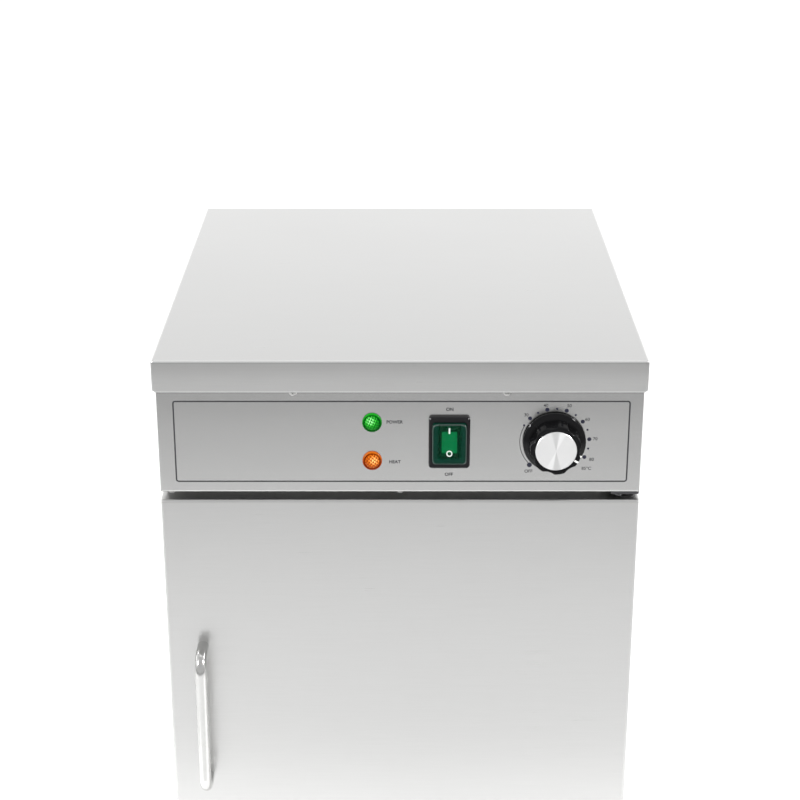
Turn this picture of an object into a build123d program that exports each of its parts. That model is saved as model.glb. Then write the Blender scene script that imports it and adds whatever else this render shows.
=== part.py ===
from build123d import *

import os

# Plate warmer cabinet in stainless sheet: an insulated cavity with two wire shelves over a tubular
# heater, a control bay above it under a folded lid, and a door on vertical pins.
# Millimetres. The origin is on the floor under the middle of the cabinet, +Z is up and the door faces -Y.

# ------------------------------------------------------------------ sizes: casing
body_width = 400.0
body_depth = 460.0
overall_height = 570.0
sheet = 1.0  # stainless sheet of the casing and the cavity
bend_radius = 2.0  # outside radius of a sheet bend
foot_height = 35.0  # floor to the underside of the base panel
cover_side_overhang = 2.5
cover_end_overhang = 3.0  # at the front and at the back
apron_height = 27.5
apron_corner_cut = 2.5
fascia_drop = 118.0  # top of the lid to the lower edge of the fascia
flange_width = 12.0  # stiffening flanges of the side panels
back_flange_width = 15.0
rail_leg = 20.0
rail_thickness = 1.5
rail_drop = 16.0  # underside of the lid to the top of the front cross rail

# ------------------------------------------------------------------ sizes: door
door_thickness = 25.0
door_top_gap = 7.0
door_bottom_gap = 3.0
gasket_thickness = 5.0  # between the door and the jambs
gasket_width = 10.0
gasket_hollow = 5.0
gasket_round = 1.8
gasket_clearance = 0.3
gasket_cover = 8.0  # outer edge of the cavity mouth to the middle of the gasket
panel_field_inset = 10.0
panel_field_rise = 2.0
panel_field_round = 1.5
hinge_inset = 10.0  # side of the door to the pin
pin_diameter = 6.0
pin_running_clearance = 0.05
pin_fixed_clearance = 0.02
pin_reach = 12.0  # length of a pin inside the door
bush_diameter = 10.0
bush_flange_diameter = 14.0
bush_flange = 1.0
bush_seat_gap = 0.05
bracket_width = 24.0
bracket_thickness = 2.5
bracket_front_inset = 2.0
bracket_edge_gap = 2.0
bottom_bracket_length = 68.0
handle_length = 130.0  # middle of one leg to the middle of the other
handle_bar = 10.0
handle_reach = 31.0
handle_bend = 14.0
handle_inset = 30.0  # side of the door to the handle
handle_screw_depth = 10.0
handle_pocket = 15.0  # square room for the heads of the handle's screws
handle_pocket_depth = 3.6
catch_inset = 8.0
catch_width = 8.0
catch_height = 40.0
catch_depth = 18.0
catch_lip = 1.5
catch_ear = 3.0
catch_lip_thickness = 1.2
catch_clearance = 0.1
catch_nose = 3.0
striker_width = 11.0
striker_height = 44.0
striker_gap = 0.3
striker_corner = 1.8

# ------------------------------------------------------------------ sizes: cavity
side_space = 28.0  # side of the body to the cavity
cavity_floor_rise = 27.0  # underside of the base panel to the cavity floor
lintel_height = 22.0
rear_space = 35.0  # back panel to the cavity's back wall
wall_relief = 2.0  # insulation stays this far from the bends
rear_insulation_rise = 50.0  # keeps the heater's terminals free
guard_height = 31.0
guard_side_gap = 2.0
guard_front_gap = 6.0
guard_hole = 10.0
guard_pitch = 25.0
guard_margin = 20.0
shelf_count = 2
ledge_width = 12.0
ledge_leg = 14.0
ledge_end_gap = 8.0
shelf_side_gap = 2.0
shelf_end_gap = 10.0
shelf_rod = 6.0
shelf_wire = 3.0
shelf_wire_pitch = 24.0
shelf_weld = 0.3  # how far crossing wires sink into each other
shelf_corner = 15.0
cross_rod_spacing = 120.0

# ------------------------------------------------------------------ sizes: heater
element_diameter = 8.0
element_side_gap = 67.0  # cavity wall to the outer legs
element_leg_count = 4
element_rise = 15.0  # cavity floor to the middle of the tube
element_front_gap = 60.0
element_turn_gap = 60.0
element_bend_relief = 1.0
element_tail = 14.0
element_pin = 3.0
element_pin_length = 7.0
element_collar = 16.0
element_collar_length = 4.0
element_weld = 0.3  # how far the collars sink into the tube
element_hole_clearance = 0.5
strap_width = 15.0
strap_thickness = 1.5
strap_spacing = 120.0
strap_overhang = 18.0
strap_clearance = 0.2

# ------------------------------------------------------------------ sizes: controls
fascia_middle = 46.0  # lower edge of the fascia to the middle line of the dial and the switch
switch_to_lamps = 63.7
lamp_spacing = 34.0
lamp_flange_diameter = 16.2
lamp_flange = 2.2
lamp_dome_diameter = 13.0
lamp_dome_height = 4.2
lamp_groove = 1.0
lamp_stem_diameter = 11.8
lamp_stem_length = 8.0
lamp_hole_clearance = 0.2
lamp_wall = 1.2
lamp_nut_diameter = 18.0
lamp_nut = 3.0
lamp_body_diameter = 14.0
lamp_body_length = 26.0
dial_to_switch = 86.6
bezel_width = 34.0
bezel_height = 45.5
bezel_proud = 4.0
bezel_corner = 3.0
bezel_edge = 1.0
switch_body_width = 30.0
switch_body_height = 41.0
switch_body_depth = 26.0
switch_cutout_clearance = 0.2
recess_width = 29.0
recess_height = 36.5
recess_floor = 1.0  # behind the front of the fascia
slot_width = 15.0
slot_height = 28.0
slot_depth = 17.0
rocker_width = 14.0
rocker_height = 26.0
rocker_pivot_depth = 4.0  # fascia to the rocker's pivot
rocker_middle = 6.0  # pivot to the rocker's valley
rocker_end_rise = 2.08  # how much further forward the ends of the rocker are than its valley
rocker_end_depth = 3.0  # pivot to the foot of the rocker's end faces
rocker_tilt = 9.0  # degrees either side of level
rocker_back = 4.0
rocker_back_height = 6.5
rocker_pin = 3.0
rocker_pin_length = 2.0
rocker_pin_clearance = 0.05
rocker_pin_end_gap = 0.3
splash_wall = 0.8
splash_clearance = 0.2
splash_proud = 7.8
splash_corner = 3.0
tab_width = 6.3
tab_thickness = 0.8
tab_length = 8.0
tab_column = 14.0
tab_row = 20.0
dial_inset = 72.7  # right side of the body to the dial
knob_skirt_diameter = 52.0
knob_height = 21.0
knob_gap = 1.2
knob_skirt_edge = 2.3
knob_shoulder_height = 6.0
knob_shoulder_diameter = 45.0
knob_grip_diameter = 43.6  # over the lobes, where they stand on the skirt
knob_front_diameter = 42.0
knob_front_round = 0.6
knob_flutes = 7
flute_diameter = 26.0
flute_depth = 1.6  # at the knob's front
knob_pointer_angle = 118.8  # degrees clockwise from straight up, at 80 degrees Celsius
knob_wall = 4.0
knob_web = 6.0
knob_hub_diameter = 15.0
knob_rim = 3.0
knob_dish = 2.0
cap_diameter = 34.0
cap_thickness = 0.9
cap_inset = 0.6
cap_edge = 0.3
cap_clearance = 0.05
shaft_diameter = 6.0
shaft_flat = 4.5  # across the flat
shaft_in_knob = 12.0
shaft_in_body = 18.0
shaft_clearance = 0.05
thermostat_width = 44.0
thermostat_depth = 24.0
thermostat_collar = 10.0
thermostat_collar_proud = 0.8
thermostat_hole_clearance = 0.2
thermostat_screw_spacing = 28.0
capillary_diameter = 1.8
capillary_offset = 10.0
capillary_run = 36.0
capillary_bend = 10.0
capillary_forward = 30.0
capillary_hole = 8.0
bulb_diameter = 6.0
bulb_length = 90.0
bulb_end_round = 1.5
bulb_drop = 11.0
bulb_clip_wall = 1.2
bulb_clip_width = 8.0
bulb_clip_spacing = 50.0
bulb_clip_foot = 12.0
bulb_clip_opening = 3.1
bulb_clip_clearance = 0.1

# ------------------------------------------------------------------ sizes: wiring and cable entry
terminal_width = 40.0
terminal_depth = 22.0
terminal_height = 18.0
terminal_step = 6.0
terminal_rib = 11.0  # depth of the raised middle
terminal_rear_gap = 44.0
terminal_screw = 5.0
terminal_pitch = 12.0
terminal_wire_hole = 4.0
gland_inset = 80.0  # left side of the body to the gland and the terminals
gland_rise = 38.0  # control bay floor to the middle of the gland
gland_thread = 20.0
gland_thread_clearance = 0.1
gland_inner_length = 7.0
gland_hex = 24.0
gland_hex_length = 5.0
gland_neck = 18.0
gland_neck_length = 11.0
gland_bore = 10.0
gland_reach = 27.0
gland_lip = 2.3
nut_gap = 0.3
seal_bore = 8.4
seal_diameter = 13.8
seal_seat = 8.0
seal_length = 10.0
locknut_hex = 26.0
locknut_length = 5.0
vent_columns = 2
vent_rows = 6
vent_width = 50.0
vent_height = 4.0
vent_pitch = 10.0
vent_column_pitch = 80.0
vent_inset = 110.0

# ------------------------------------------------------------------ sizes: screws and feet
screw_diameter = 4.0
screw_length = 6.0
screw_head_diameter = 7.4
screw_head_height = 1.8
screw_head_edge = 1.0  # straight part of the head's side
screw_head_round = 0.9
screw_hole_clearance = 0.1
cover_screw_inset = 112.5
bottom_side_inset = 9.0
bottom_screw_inset = 6.0
rear_screw_inset = 7.5
rear_screw_rows = 4
rear_screw_low = 32.0  # base panel to the lowest screw
rear_screw_high = 81.0  # lid to the highest screw
lid_rear_inset = 80.0
base_screw_inset = 7.0
base_screw_rows = 4
base_screw_end_gap = 80.0
bracket_screw_inset = 17.0
bracket_screw_pitch = 15.0
foot_inset_x = 40.0
foot_inset_y = 40.0
foot_pad_diameter = 38.0
foot_pad_height = 9.0
foot_pad_round = 2.0
foot_neck_diameter = 22.0
foot_stem = 9.9
foot_stem_length = 24.0
socket_bore = 10.0
socket_flange_diameter = 26.0
socket_flange = 2.0
socket_barrel = 16.0
socket_length = 17.0


def spread(first, last, count):
    """Evenly spaced values from first to last."""
    return [first + (last - first) * step / (count - 1) for step in range(count)]


# ------------------------------------------------------------------ places worked out from the sizes
half_width = body_width / 2
front_y = -body_depth / 2
back_y = body_depth / 2
jamb_y = front_y + door_thickness + gasket_thickness
lid_under_z = overall_height - sheet
fascia_bottom_z = overall_height - fascia_drop
bay_floor_z = fascia_bottom_z + sheet
control_z = fascia_bottom_z + fascia_middle
door_back_y = front_y + door_thickness
door_top_z = fascia_bottom_z - door_top_gap
door_bottom_z = foot_height + door_bottom_gap
door_middle_z = (door_top_z + door_bottom_z) / 2
base_top_z = foot_height + sheet
mouth_half = half_width - side_space
cavity_width = 2 * mouth_half
wall_outer = mouth_half + sheet
cavity_floor_z = foot_height + cavity_floor_rise
cavity_top_z = fascia_bottom_z - lintel_height
cavity_back_y = back_y - rear_space
skin_back_y = back_y - sheet
gasket_half = wall_outer + gasket_cover - sheet
gasket_top_z = cavity_top_z + gasket_cover
gasket_bottom_z = cavity_floor_z - sheet - gasket_cover - sheet
hinge_x = half_width - hinge_inset
hinge_y = front_y + door_thickness / 2
handle_x = -(half_width - handle_inset)
catch_x = -(half_width - catch_inset)
pin_radius = pin_diameter / 2
screw_hole_radius = screw_diameter / 2 + screw_hole_clearance
cover_screw_z = overall_height - apron_height
cover_screw_x = half_width - cover_screw_inset
bottom_screw_x = half_width - bottom_side_inset
lid_rear_screw_x = half_width - lid_rear_inset
dial_x = half_width - dial_inset
switch_x = dial_x - dial_to_switch
lamp_x = switch_x - switch_to_lamps
gland_x = gland_inset - half_width
terminal_x = gland_x
vent_x = half_width - vent_inset
shelf_half = mouth_half - shelf_side_gap
gland_z = bay_floor_z + gland_rise
bottom_screw_y = front_y + bottom_screw_inset
bracket_screw_x = half_width - bracket_screw_inset
base_screw_x = half_width - base_screw_inset
rear_screw_x = half_width - rear_screw_inset
rear_screw_z = spread(base_top_z + rear_screw_low, lid_under_z - rear_screw_high, rear_screw_rows)
base_screw_y = spread(front_y + base_screw_end_gap, back_y - base_screw_end_gap, base_screw_rows)
lid_screw_z = overall_height - apron_height / 2
top_screw_y = [hinge_y - bracket_screw_pitch / 2, hinge_y + bracket_screw_pitch / 2]
bottom_bracket_screw_y = [jamb_y + bracket_screw_pitch, jamb_y + 2 * bracket_screw_pitch]


# ------------------------------------------------------------------ shared shapes
def block(xs, ys, zs, mode=Mode.ADD):
    """A straight-sided block between two values on each axis, in either order."""
    middle = tuple((pair[0] + pair[1]) / 2 for pair in (xs, ys, zs))
    with Locations(middle):
        Box(abs(xs[1] - xs[0]), abs(ys[1] - ys[0]), abs(zs[1] - zs[0]), mode=mode)


def front_plane(y):
    """A plane that faces the door side: local x is X and local y is Z."""
    return Plane.XZ.offset(-y)


def forward_axis(x, z):
    """The line along Y through a point of the fascia."""
    return Axis((x, 0, z), (0, 1, 0))


def turned_forward(x, z, points, mode=Mode.ADD):
    """A turned shape on a line along Y. Points are (radius, distance in front of the fascia)."""
    with BuildSketch(Plane(origin=(x, front_y, z), x_dir=(1, 0, 0), z_dir=(0, 0, -1))) as section:
        with BuildLine():
            Polyline(*points, close=True)
        make_face()
    revolve(section.sketch, axis=forward_axis(x, z), mode=mode)


def turned_upright(x, y, points, mode=Mode.ADD):
    """A turned shape on an upright line. Points are (radius, height above the floor)."""
    with BuildSketch(Plane(origin=(x, y, 0), x_dir=(1, 0, 0), z_dir=(0, -1, 0))) as section:
        with BuildLine():
            Polyline(*points, close=True)
        make_face()
    revolve(section.sketch, axis=Axis((x, y, 0), (0, 0, 1)), mode=mode)


def drill_forward(places, radius, y_from, y_to):
    """Round holes along Y at (x, z) places."""
    with BuildSketch(front_plane(y_to)) as holes:
        with Locations(*places):
            Circle(radius)
    extrude(holes.sketch, amount=y_to - y_from, mode=Mode.SUBTRACT)


def drill_upright(places, radius, z_from, z_to):
    """Round holes along Z at (x, y) places."""
    with BuildSketch(Plane.XY.offset(z_from)) as holes:
        with Locations(*places):
            Circle(radius)
    extrude(holes.sketch, amount=z_to - z_from, mode=Mode.SUBTRACT)


def round_corner(sketch, x, y, radius):
    """Round the corner of a profile that lies nearest a point."""
    fillet(sketch.vertices().sort_by_distance((x, y))[0], radius)


def pan_head_points(seat, direction):
    """Half section of a pan-head screw: seat is where its head rests, direction points from shank to head."""
    return [
        (0, seat - direction * screw_length),
        (screw_diameter / 2, seat - direction * screw_length),
        (screw_diameter / 2, seat),
        (screw_head_diameter / 2, seat),
        (screw_head_diameter / 2, seat + direction * screw_head_edge),
        (screw_head_diameter / 2 - screw_head_round, seat + direction * screw_head_height),
        (0, seat + direction * screw_head_height),
    ]


# ------------------------------------------------------------------ top cover
cover_half = half_width + cover_side_overhang
cover_front_y = front_y - cover_end_overhang
cover_back_y = back_y + cover_end_overhang

with BuildPart() as top_cover:
    block((-cover_half, cover_half), (cover_front_y, cover_back_y),
          (overall_height - apron_height, overall_height))
    fillet(top_cover.faces().sort_by(Axis.Z)[-1].edges() + top_cover.edges().filter_by(Axis.Z), bend_radius)
    offset(amount=-sheet, openings=top_cover.faces().sort_by(Axis.Z)[0])
    for end in (-1, 1):
        end_y = end * cover_back_y
        with BuildSketch(front_plane(end_y)):
            for side in (-1, 1):
                corner = (side * cover_half, overall_height - apron_height)
                with BuildLine():
                    Polyline(
                        corner,
                        (corner[0] - side * apron_corner_cut, corner[1]),
                        (corner[0], corner[1] + apron_corner_cut),
                        close=True,
                    )
                make_face()
        extrude(amount=end * cover_end_overhang, mode=Mode.SUBTRACT)
    drill_forward([(-lid_rear_screw_x, lid_screw_z), (lid_rear_screw_x, lid_screw_z)],
                  screw_hole_radius, back_y, cover_back_y)
top_cover.part.label = "top_cover"

# ------------------------------------------------------------------ control fascia
with BuildPart() as control_fascia:
    block((-half_width, half_width), (front_y, jamb_y), (fascia_bottom_z, lid_under_z))
    front_face = control_fascia.faces().sort_by(Axis.Y)[0]
    fillet(front_face.edges(), bend_radius)
    offset(amount=-sheet, openings=control_fascia.faces().sort_by(Axis.Y)[-1])
    drill_forward([(-cover_screw_x, cover_screw_z), (cover_screw_x, cover_screw_z)],
                  screw_hole_radius, front_y, front_y + sheet)
    drill_forward([(lamp_x, control_z + lamp_spacing / 2), (lamp_x, control_z - lamp_spacing / 2)],
                  lamp_stem_diameter / 2 + lamp_hole_clearance, front_y, front_y + sheet)
    drill_forward([(dial_x, control_z)], thermostat_collar / 2 + thermostat_hole_clearance,
                  front_y, front_y + sheet)
    drill_forward([(dial_x - thermostat_screw_spacing / 2, control_z),
                   (dial_x + thermostat_screw_spacing / 2, control_z)],
                  screw_hole_radius, front_y, front_y + sheet)
    switch_cutout_half = switch_body_width / 2 + switch_cutout_clearance
    switch_cutout_rise = switch_body_height / 2 + switch_cutout_clearance
    block((switch_x - switch_cutout_half, switch_x + switch_cutout_half), (front_y, front_y + sheet),
          (control_z - switch_cutout_rise, control_z + switch_cutout_rise), mode=Mode.SUBTRACT)
    drill_upright([(-bottom_screw_x, bottom_screw_y), (0, bottom_screw_y)]
                  + [(bracket_screw_x, y) for y in top_screw_y],
                  screw_hole_radius, fascia_bottom_z, bay_floor_z)
control_fascia.part.label = "control_fascia"

# ------------------------------------------------------------------ front cross rail behind the fascia
rail_top_z = lid_under_z - rail_drop
rail_front_y = front_y + sheet
with BuildPart() as front_cross_rail:
    rail_half = half_width - sheet - bend_radius
    block((-rail_half, rail_half), (rail_front_y, rail_front_y + rail_thickness),
          (rail_top_z - rail_leg, rail_top_z))
    block((-rail_half, rail_half), (rail_front_y, rail_front_y + rail_leg),
          (rail_top_z - rail_thickness, rail_top_z))
    drill_forward([(-cover_screw_x, cover_screw_z), (cover_screw_x, cover_screw_z)],
                  screw_hole_radius, rail_front_y, rail_front_y + rail_thickness)
front_cross_rail.part.label = "front_cross_rail"


# ------------------------------------------------------------------ side panels with their door jambs
def make_side_panel(side, label):
    """One side of the casing: the skin, the jamb flange at its front and stiffening flanges."""
    outer = side * half_width
    inner = side * (half_width - sheet)
    with BuildPart() as panel:
        with BuildSketch(Plane.XY.offset(base_top_z)) as section:
            with BuildLine():
                Polyline(
                    (outer, jamb_y),
                    (side * wall_outer, jamb_y),
                    (side * wall_outer, jamb_y + sheet),
                    (inner, jamb_y + sheet),
                    (inner, skin_back_y - sheet),
                    (outer - side * back_flange_width, skin_back_y - sheet),
                    (outer - side * back_flange_width, skin_back_y),
                    (outer, skin_back_y),
                    close=True,
                )
            make_face()
            for y in (jamb_y, skin_back_y):
                round_corner(section, outer, y, bend_radius)
            for y in (jamb_y + sheet, skin_back_y - sheet):
                round_corner(section, inner, y, bend_radius - sheet)
        extrude(amount=lid_under_z - base_top_z)
        for z in (base_top_z, lid_under_z - sheet):
            block((inner, outer - side * flange_width), (jamb_y + bend_radius, skin_back_y - bend_radius),
                  (z, z + sheet))
        drill_forward([(side * rear_screw_x, z) for z in rear_screw_z], screw_hole_radius,
                      skin_back_y - sheet, skin_back_y)
        drill_upright([(side * base_screw_x, y) for y in base_screw_y], screw_hole_radius,
                      base_top_z, base_top_z + sheet)
        if side < 0:
            half = catch_width / 2 + catch_clearance
            rise = catch_height / 2 + catch_clearance
            block((catch_x - half, catch_x + half), (jamb_y, jamb_y + sheet),
                  (door_middle_z - rise, door_middle_z + rise), mode=Mode.SUBTRACT)
        else:
            drill_upright([(side * base_screw_x, y) for y in bottom_bracket_screw_y], screw_hole_radius,
                          base_top_z, base_top_z + sheet)
    panel.part.label = label
    return panel


left_side_panel = make_side_panel(-1, "left_side_panel")
right_side_panel = make_side_panel(1, "right_side_panel")

# ------------------------------------------------------------------ back panel
with BuildPart() as back_panel:
    block((-half_width, half_width), (skin_back_y, back_y), (base_top_z, lid_under_z))
    drill_forward([(side * rear_screw_x, z) for z in rear_screw_z for side in (-1, 1)],
                  screw_hole_radius, skin_back_y, back_y)
    drill_forward([(-lid_rear_screw_x, lid_screw_z), (lid_rear_screw_x, lid_screw_z)],
                  screw_hole_radius, skin_back_y, back_y)
    drill_forward([(gland_x, gland_z)], gland_thread / 2 + gland_thread_clearance, skin_back_y, back_y)
    with BuildSketch(front_plane(back_y)):
        with Locations((vent_x, gland_z)):
            with GridLocations(vent_column_pitch, vent_pitch, vent_columns, vent_rows):
                SlotOverall(vent_width, vent_height)
    extrude(amount=sheet, mode=Mode.SUBTRACT)
back_panel.part.label = "back_panel"

# ------------------------------------------------------------------ base panel
foot_places = {
    "front_left": (-half_width + foot_inset_x, jamb_y + foot_inset_y),
    "front_right": (half_width - foot_inset_x, jamb_y + foot_inset_y),
    "rear_left": (-half_width + foot_inset_x, back_y - foot_inset_y),
    "rear_right": (half_width - foot_inset_x, back_y - foot_inset_y),
}

with BuildPart() as base_panel:
    block((-half_width, half_width), (jamb_y, back_y), (foot_height, base_top_z))
    drill_upright(list(foot_places.values()), socket_barrel / 2 + screw_hole_clearance,
                  foot_height, base_top_z)
    drill_upright([(side * base_screw_x, y) for y in base_screw_y for side in (-1, 1)]
                  + [(base_screw_x, y) for y in bottom_bracket_screw_y],
                  screw_hole_radius, foot_height, base_top_z)
base_panel.part.label = "base_panel"

# ------------------------------------------------------------------ control bay floor
capillary_x = dial_x + capillary_offset
capillary_start_y = front_y + sheet + thermostat_depth
capillary_down_y = capillary_start_y + capillary_run
tongue_half = wall_outer - bend_radius

with BuildPart() as control_bay_floor:
    block((-half_width + sheet, half_width - sheet), (jamb_y + sheet, skin_back_y - sheet),
          (bay_floor_z, bay_floor_z + sheet))
    fillet(control_bay_floor.edges().filter_by(Axis.Z), bend_radius)
    block((-tongue_half, tongue_half), (front_y + bend_radius, jamb_y + sheet),
          (bay_floor_z, bay_floor_z + sheet))
    drill_upright([(0, bottom_screw_y)], screw_hole_radius, bay_floor_z, bay_floor_z + sheet)
    drill_upright([(capillary_x, capillary_down_y)], capillary_hole / 2, bay_floor_z, bay_floor_z + sheet)
control_bay_floor.part.label = "control_bay_floor"

# ------------------------------------------------------------------ cavity: ceiling and floor, front flanges


def lining_sheet(face_z, edge_z, outward):
    """A level cavity sheet whose front flange is turned up (outward = 1) or down (outward = -1)."""
    back_of_face = face_z + outward * sheet
    with BuildSketch(Plane.YZ.offset(-mouth_half)) as section:
        with BuildLine():
            Polyline(
                (jamb_y, face_z),
                (cavity_back_y, face_z),
                (cavity_back_y, back_of_face),
                (jamb_y + sheet, back_of_face),
                (jamb_y + sheet, edge_z),
                (jamb_y, edge_z),
                close=True,
            )
        make_face()
        round_corner(section, jamb_y, face_z, bend_radius)
        round_corner(section, jamb_y + sheet, back_of_face, bend_radius - sheet)
    extrude(section.sketch, amount=cavity_width)


with BuildPart() as cavity_ceiling:
    lining_sheet(cavity_top_z, bay_floor_z, 1)
    drill_upright([(capillary_x, capillary_down_y)], capillary_hole / 2, cavity_top_z, cavity_top_z + sheet)
cavity_ceiling.part.label = "cavity_ceiling"

with BuildPart() as cavity_floor:
    lining_sheet(cavity_floor_z, base_top_z, -1)
cavity_floor.part.label = "cavity_floor"

# ------------------------------------------------------------------ cavity: side and back walls
wall_heights = (cavity_floor_z - sheet, cavity_top_z + sheet)

with BuildPart() as cavity_left_wall:
    block((-wall_outer, -mouth_half), (jamb_y, cavity_back_y), wall_heights)
cavity_left_wall.part.label = "cavity_left_wall"

with BuildPart() as cavity_right_wall:
    block((mouth_half, wall_outer), (jamb_y, cavity_back_y), wall_heights)
cavity_right_wall.part.label = "cavity_right_wall"

element_z = cavity_floor_z + element_rise
element_legs = spread(element_side_gap - mouth_half, mouth_half - element_side_gap, element_leg_count)

with BuildPart() as cavity_back_wall:
    block((-wall_outer, wall_outer), (cavity_back_y, cavity_back_y + sheet), wall_heights)
    drill_forward([(element_legs[0], element_z), (element_legs[-1], element_z)],
                  element_diameter / 2 + element_hole_clearance, cavity_back_y, cavity_back_y + sheet)
cavity_back_wall.part.label = "cavity_back_wall"

# ------------------------------------------------------------------ insulation slabs
slab_back_y = skin_back_y - sheet
side_slab_back_y = back_y - screw_length - wall_relief

with BuildPart() as side_insulation:
    for side in (-1, 1):
        block((side * wall_outer, side * (half_width - sheet)), (jamb_y + wall_relief, side_slab_back_y),
              (cavity_floor_z - sheet, bay_floor_z))
    pocket_half = catch_width / 2 + catch_clearance
    pocket_rise = catch_height / 2 + catch_clearance
    block((catch_x - pocket_half, catch_x + pocket_half), (jamb_y, jamb_y + catch_depth + wall_relief),
          (door_middle_z - pocket_rise, door_middle_z + pocket_rise), mode=Mode.SUBTRACT)
side_insulation.part.label = "side_insulation"

with BuildPart() as top_insulation:
    block((-wall_outer, wall_outer), (jamb_y + wall_relief, slab_back_y), (cavity_top_z + sheet, bay_floor_z))
    drill_upright([(capillary_x, capillary_down_y)], capillary_hole / 2, cavity_top_z + sheet, bay_floor_z)
top_insulation.part.label = "top_insulation"

with BuildPart() as back_insulation:
    block((-wall_outer, wall_outer), (cavity_back_y + sheet, slab_back_y),
          (cavity_floor_z + rear_insulation_rise, cavity_top_z + sheet))
back_insulation.part.label = "back_insulation"

# ------------------------------------------------------------------ heater: tube, straps and perforated guard
element_front_y = jamb_y + element_front_gap
element_turn_y = cavity_back_y - element_turn_gap
element_end_y = cavity_back_y + sheet + element_tail
element_bend = (element_legs[1] - element_legs[0]) / 2 - element_bend_relief

with BuildPart() as heating_element:
    with BuildLine() as element_path:
        FilletPolyline(
            (element_legs[0], element_end_y, element_z),
            (element_legs[0], element_front_y, element_z),
            (element_legs[1], element_front_y, element_z),
            (element_legs[1], element_turn_y, element_z),
            (element_legs[2], element_turn_y, element_z),
            (element_legs[2], element_front_y, element_z),
            (element_legs[3], element_front_y, element_z),
            (element_legs[3], element_end_y, element_z),
            radius=element_bend,
        )
    with BuildSketch(Plane(origin=(element_legs[0], element_end_y, element_z), z_dir=(0, -1, 0))):
        Circle(element_diameter / 2)
    sweep(path=element_path.wires()[0])
    for leg_x in (element_legs[0], element_legs[-1]):
        with BuildSketch(front_plane(cavity_back_y)):
            with Locations((leg_x, element_z)):
                Circle(element_collar / 2)
                Circle(element_diameter / 2 - element_weld, mode=Mode.SUBTRACT)
        extrude(amount=element_collar_length)
        with BuildSketch(front_plane(cavity_back_y + sheet)):
            with Locations((leg_x, element_z)):
                RegularPolygon(element_collar / 2, 6)
                Circle(element_diameter / 2 - element_weld, mode=Mode.SUBTRACT)
        extrude(amount=-element_collar_length)
        with BuildSketch(front_plane(element_end_y)):
            with Locations((leg_x, element_z)):
                Circle(element_pin / 2)
        extrude(amount=-element_pin_length)
heating_element.part.label = "heating_element"

strap_top_z = element_z - element_diameter / 2 - strap_clearance
strap_half = element_legs[-1] + strap_overhang

with BuildPart() as element_straps:
    for strap_y in (-strap_spacing / 2, strap_spacing / 2):
        strap_ys = (strap_y - strap_width / 2, strap_y + strap_width / 2)
        block((-strap_half, strap_half), strap_ys, (strap_top_z - strap_thickness, strap_top_z))
        for side in (-1, 1):
            block((side * strap_half, side * (strap_half - strap_thickness)), strap_ys,
                  (cavity_floor_z, strap_top_z))
element_straps.part.label = "element_straps"

guard_top_z = cavity_floor_z + guard_height
guard_half = mouth_half - guard_side_gap
guard_front_y = jamb_y + guard_front_gap
guard_back_y = cavity_back_y - guard_front_gap
guard_columns = int((2 * guard_half - 2 * guard_margin) // guard_pitch) + 1
guard_rows = int((guard_back_y - guard_front_y - 2 * guard_margin) // guard_pitch) + 1

with BuildPart() as element_guard:
    block((-guard_half, guard_half), (guard_front_y, guard_back_y), (guard_top_z - sheet, guard_top_z))
    for side in (-1, 1):
        block((side * guard_half, side * (guard_half - sheet)), (guard_front_y, guard_back_y),
              (cavity_floor_z, guard_top_z))
    with BuildSketch(Plane.XY.offset(guard_top_z - sheet)):
        with Locations((0, (guard_front_y + guard_back_y) / 2)):
            with GridLocations(guard_pitch, guard_pitch, guard_columns, guard_rows):
                Circle(guard_hole / 2)
    extrude(amount=sheet, mode=Mode.SUBTRACT)
element_guard.part.label = "element_guard"

# ------------------------------------------------------------------ shelf rails and wire shelves
ledge_ends = (jamb_y + ledge_end_gap, cavity_back_y - ledge_end_gap)
# the shelves share the height above the guard into equal plate spaces
ledge_levels = spread(guard_top_z, cavity_top_z, shelf_count + 2)[1:-1]

with BuildPart() as shelf_rails:
    for ledge_z in ledge_levels:
        for side in (-1, 1):
            wall = side * mouth_half
            block((wall, wall - side * ledge_width), ledge_ends, (ledge_z - sheet, ledge_z))
            block((wall, wall - side * sheet), ledge_ends, (ledge_z - ledge_leg, ledge_z))
shelf_rails.part.label = "shelf_rails"


def make_shelf(ledge_z, label):
    """A wire shelf: a bent rod frame, two cross rods and wires welded across them."""
    rod = shelf_rod / 2
    rod_z = ledge_z + rod
    wire_z = rod_z + rod + shelf_wire / 2 - shelf_weld
    frame_half = shelf_half - rod
    front = jamb_y + shelf_end_gap + rod
    back = cavity_back_y - shelf_end_gap - rod
    middle_y = (front + back) / 2
    with BuildPart() as shelf:
        with BuildSketch(Plane.XY.offset(rod_z), mode=Mode.PRIVATE) as frame_outline:
            with Locations((0, middle_y)):
                RectangleRounded(2 * frame_half, back - front, shelf_corner)
        with BuildSketch(Plane(origin=(0, front, rod_z), x_dir=(0, 1, 0), z_dir=(1, 0, 0))):
            Circle(rod)
        sweep(path=frame_outline.wires()[0])
        with BuildSketch(Plane.YZ.offset(-frame_half)):
            with Locations((middle_y - cross_rod_spacing / 2, rod_z),
                           (middle_y + cross_rod_spacing / 2, rod_z)):
                Circle(rod)
        extrude(amount=2 * frame_half)
        wires = int((2 * frame_half - shelf_wire_pitch) // shelf_wire_pitch)
        with BuildSketch(front_plane(back)):
            with Locations((0, wire_z)):
                with GridLocations(shelf_wire_pitch, shelf_wire_pitch, wires, 1):
                    Circle(shelf_wire / 2)
        extrude(amount=back - front)
    shelf.part.label = label
    return shelf


lower_shelf = make_shelf(ledge_levels[0], "lower_shelf")
upper_shelf = make_shelf(ledge_levels[1], "upper_shelf")

# ------------------------------------------------------------------ indicator lamps


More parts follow.
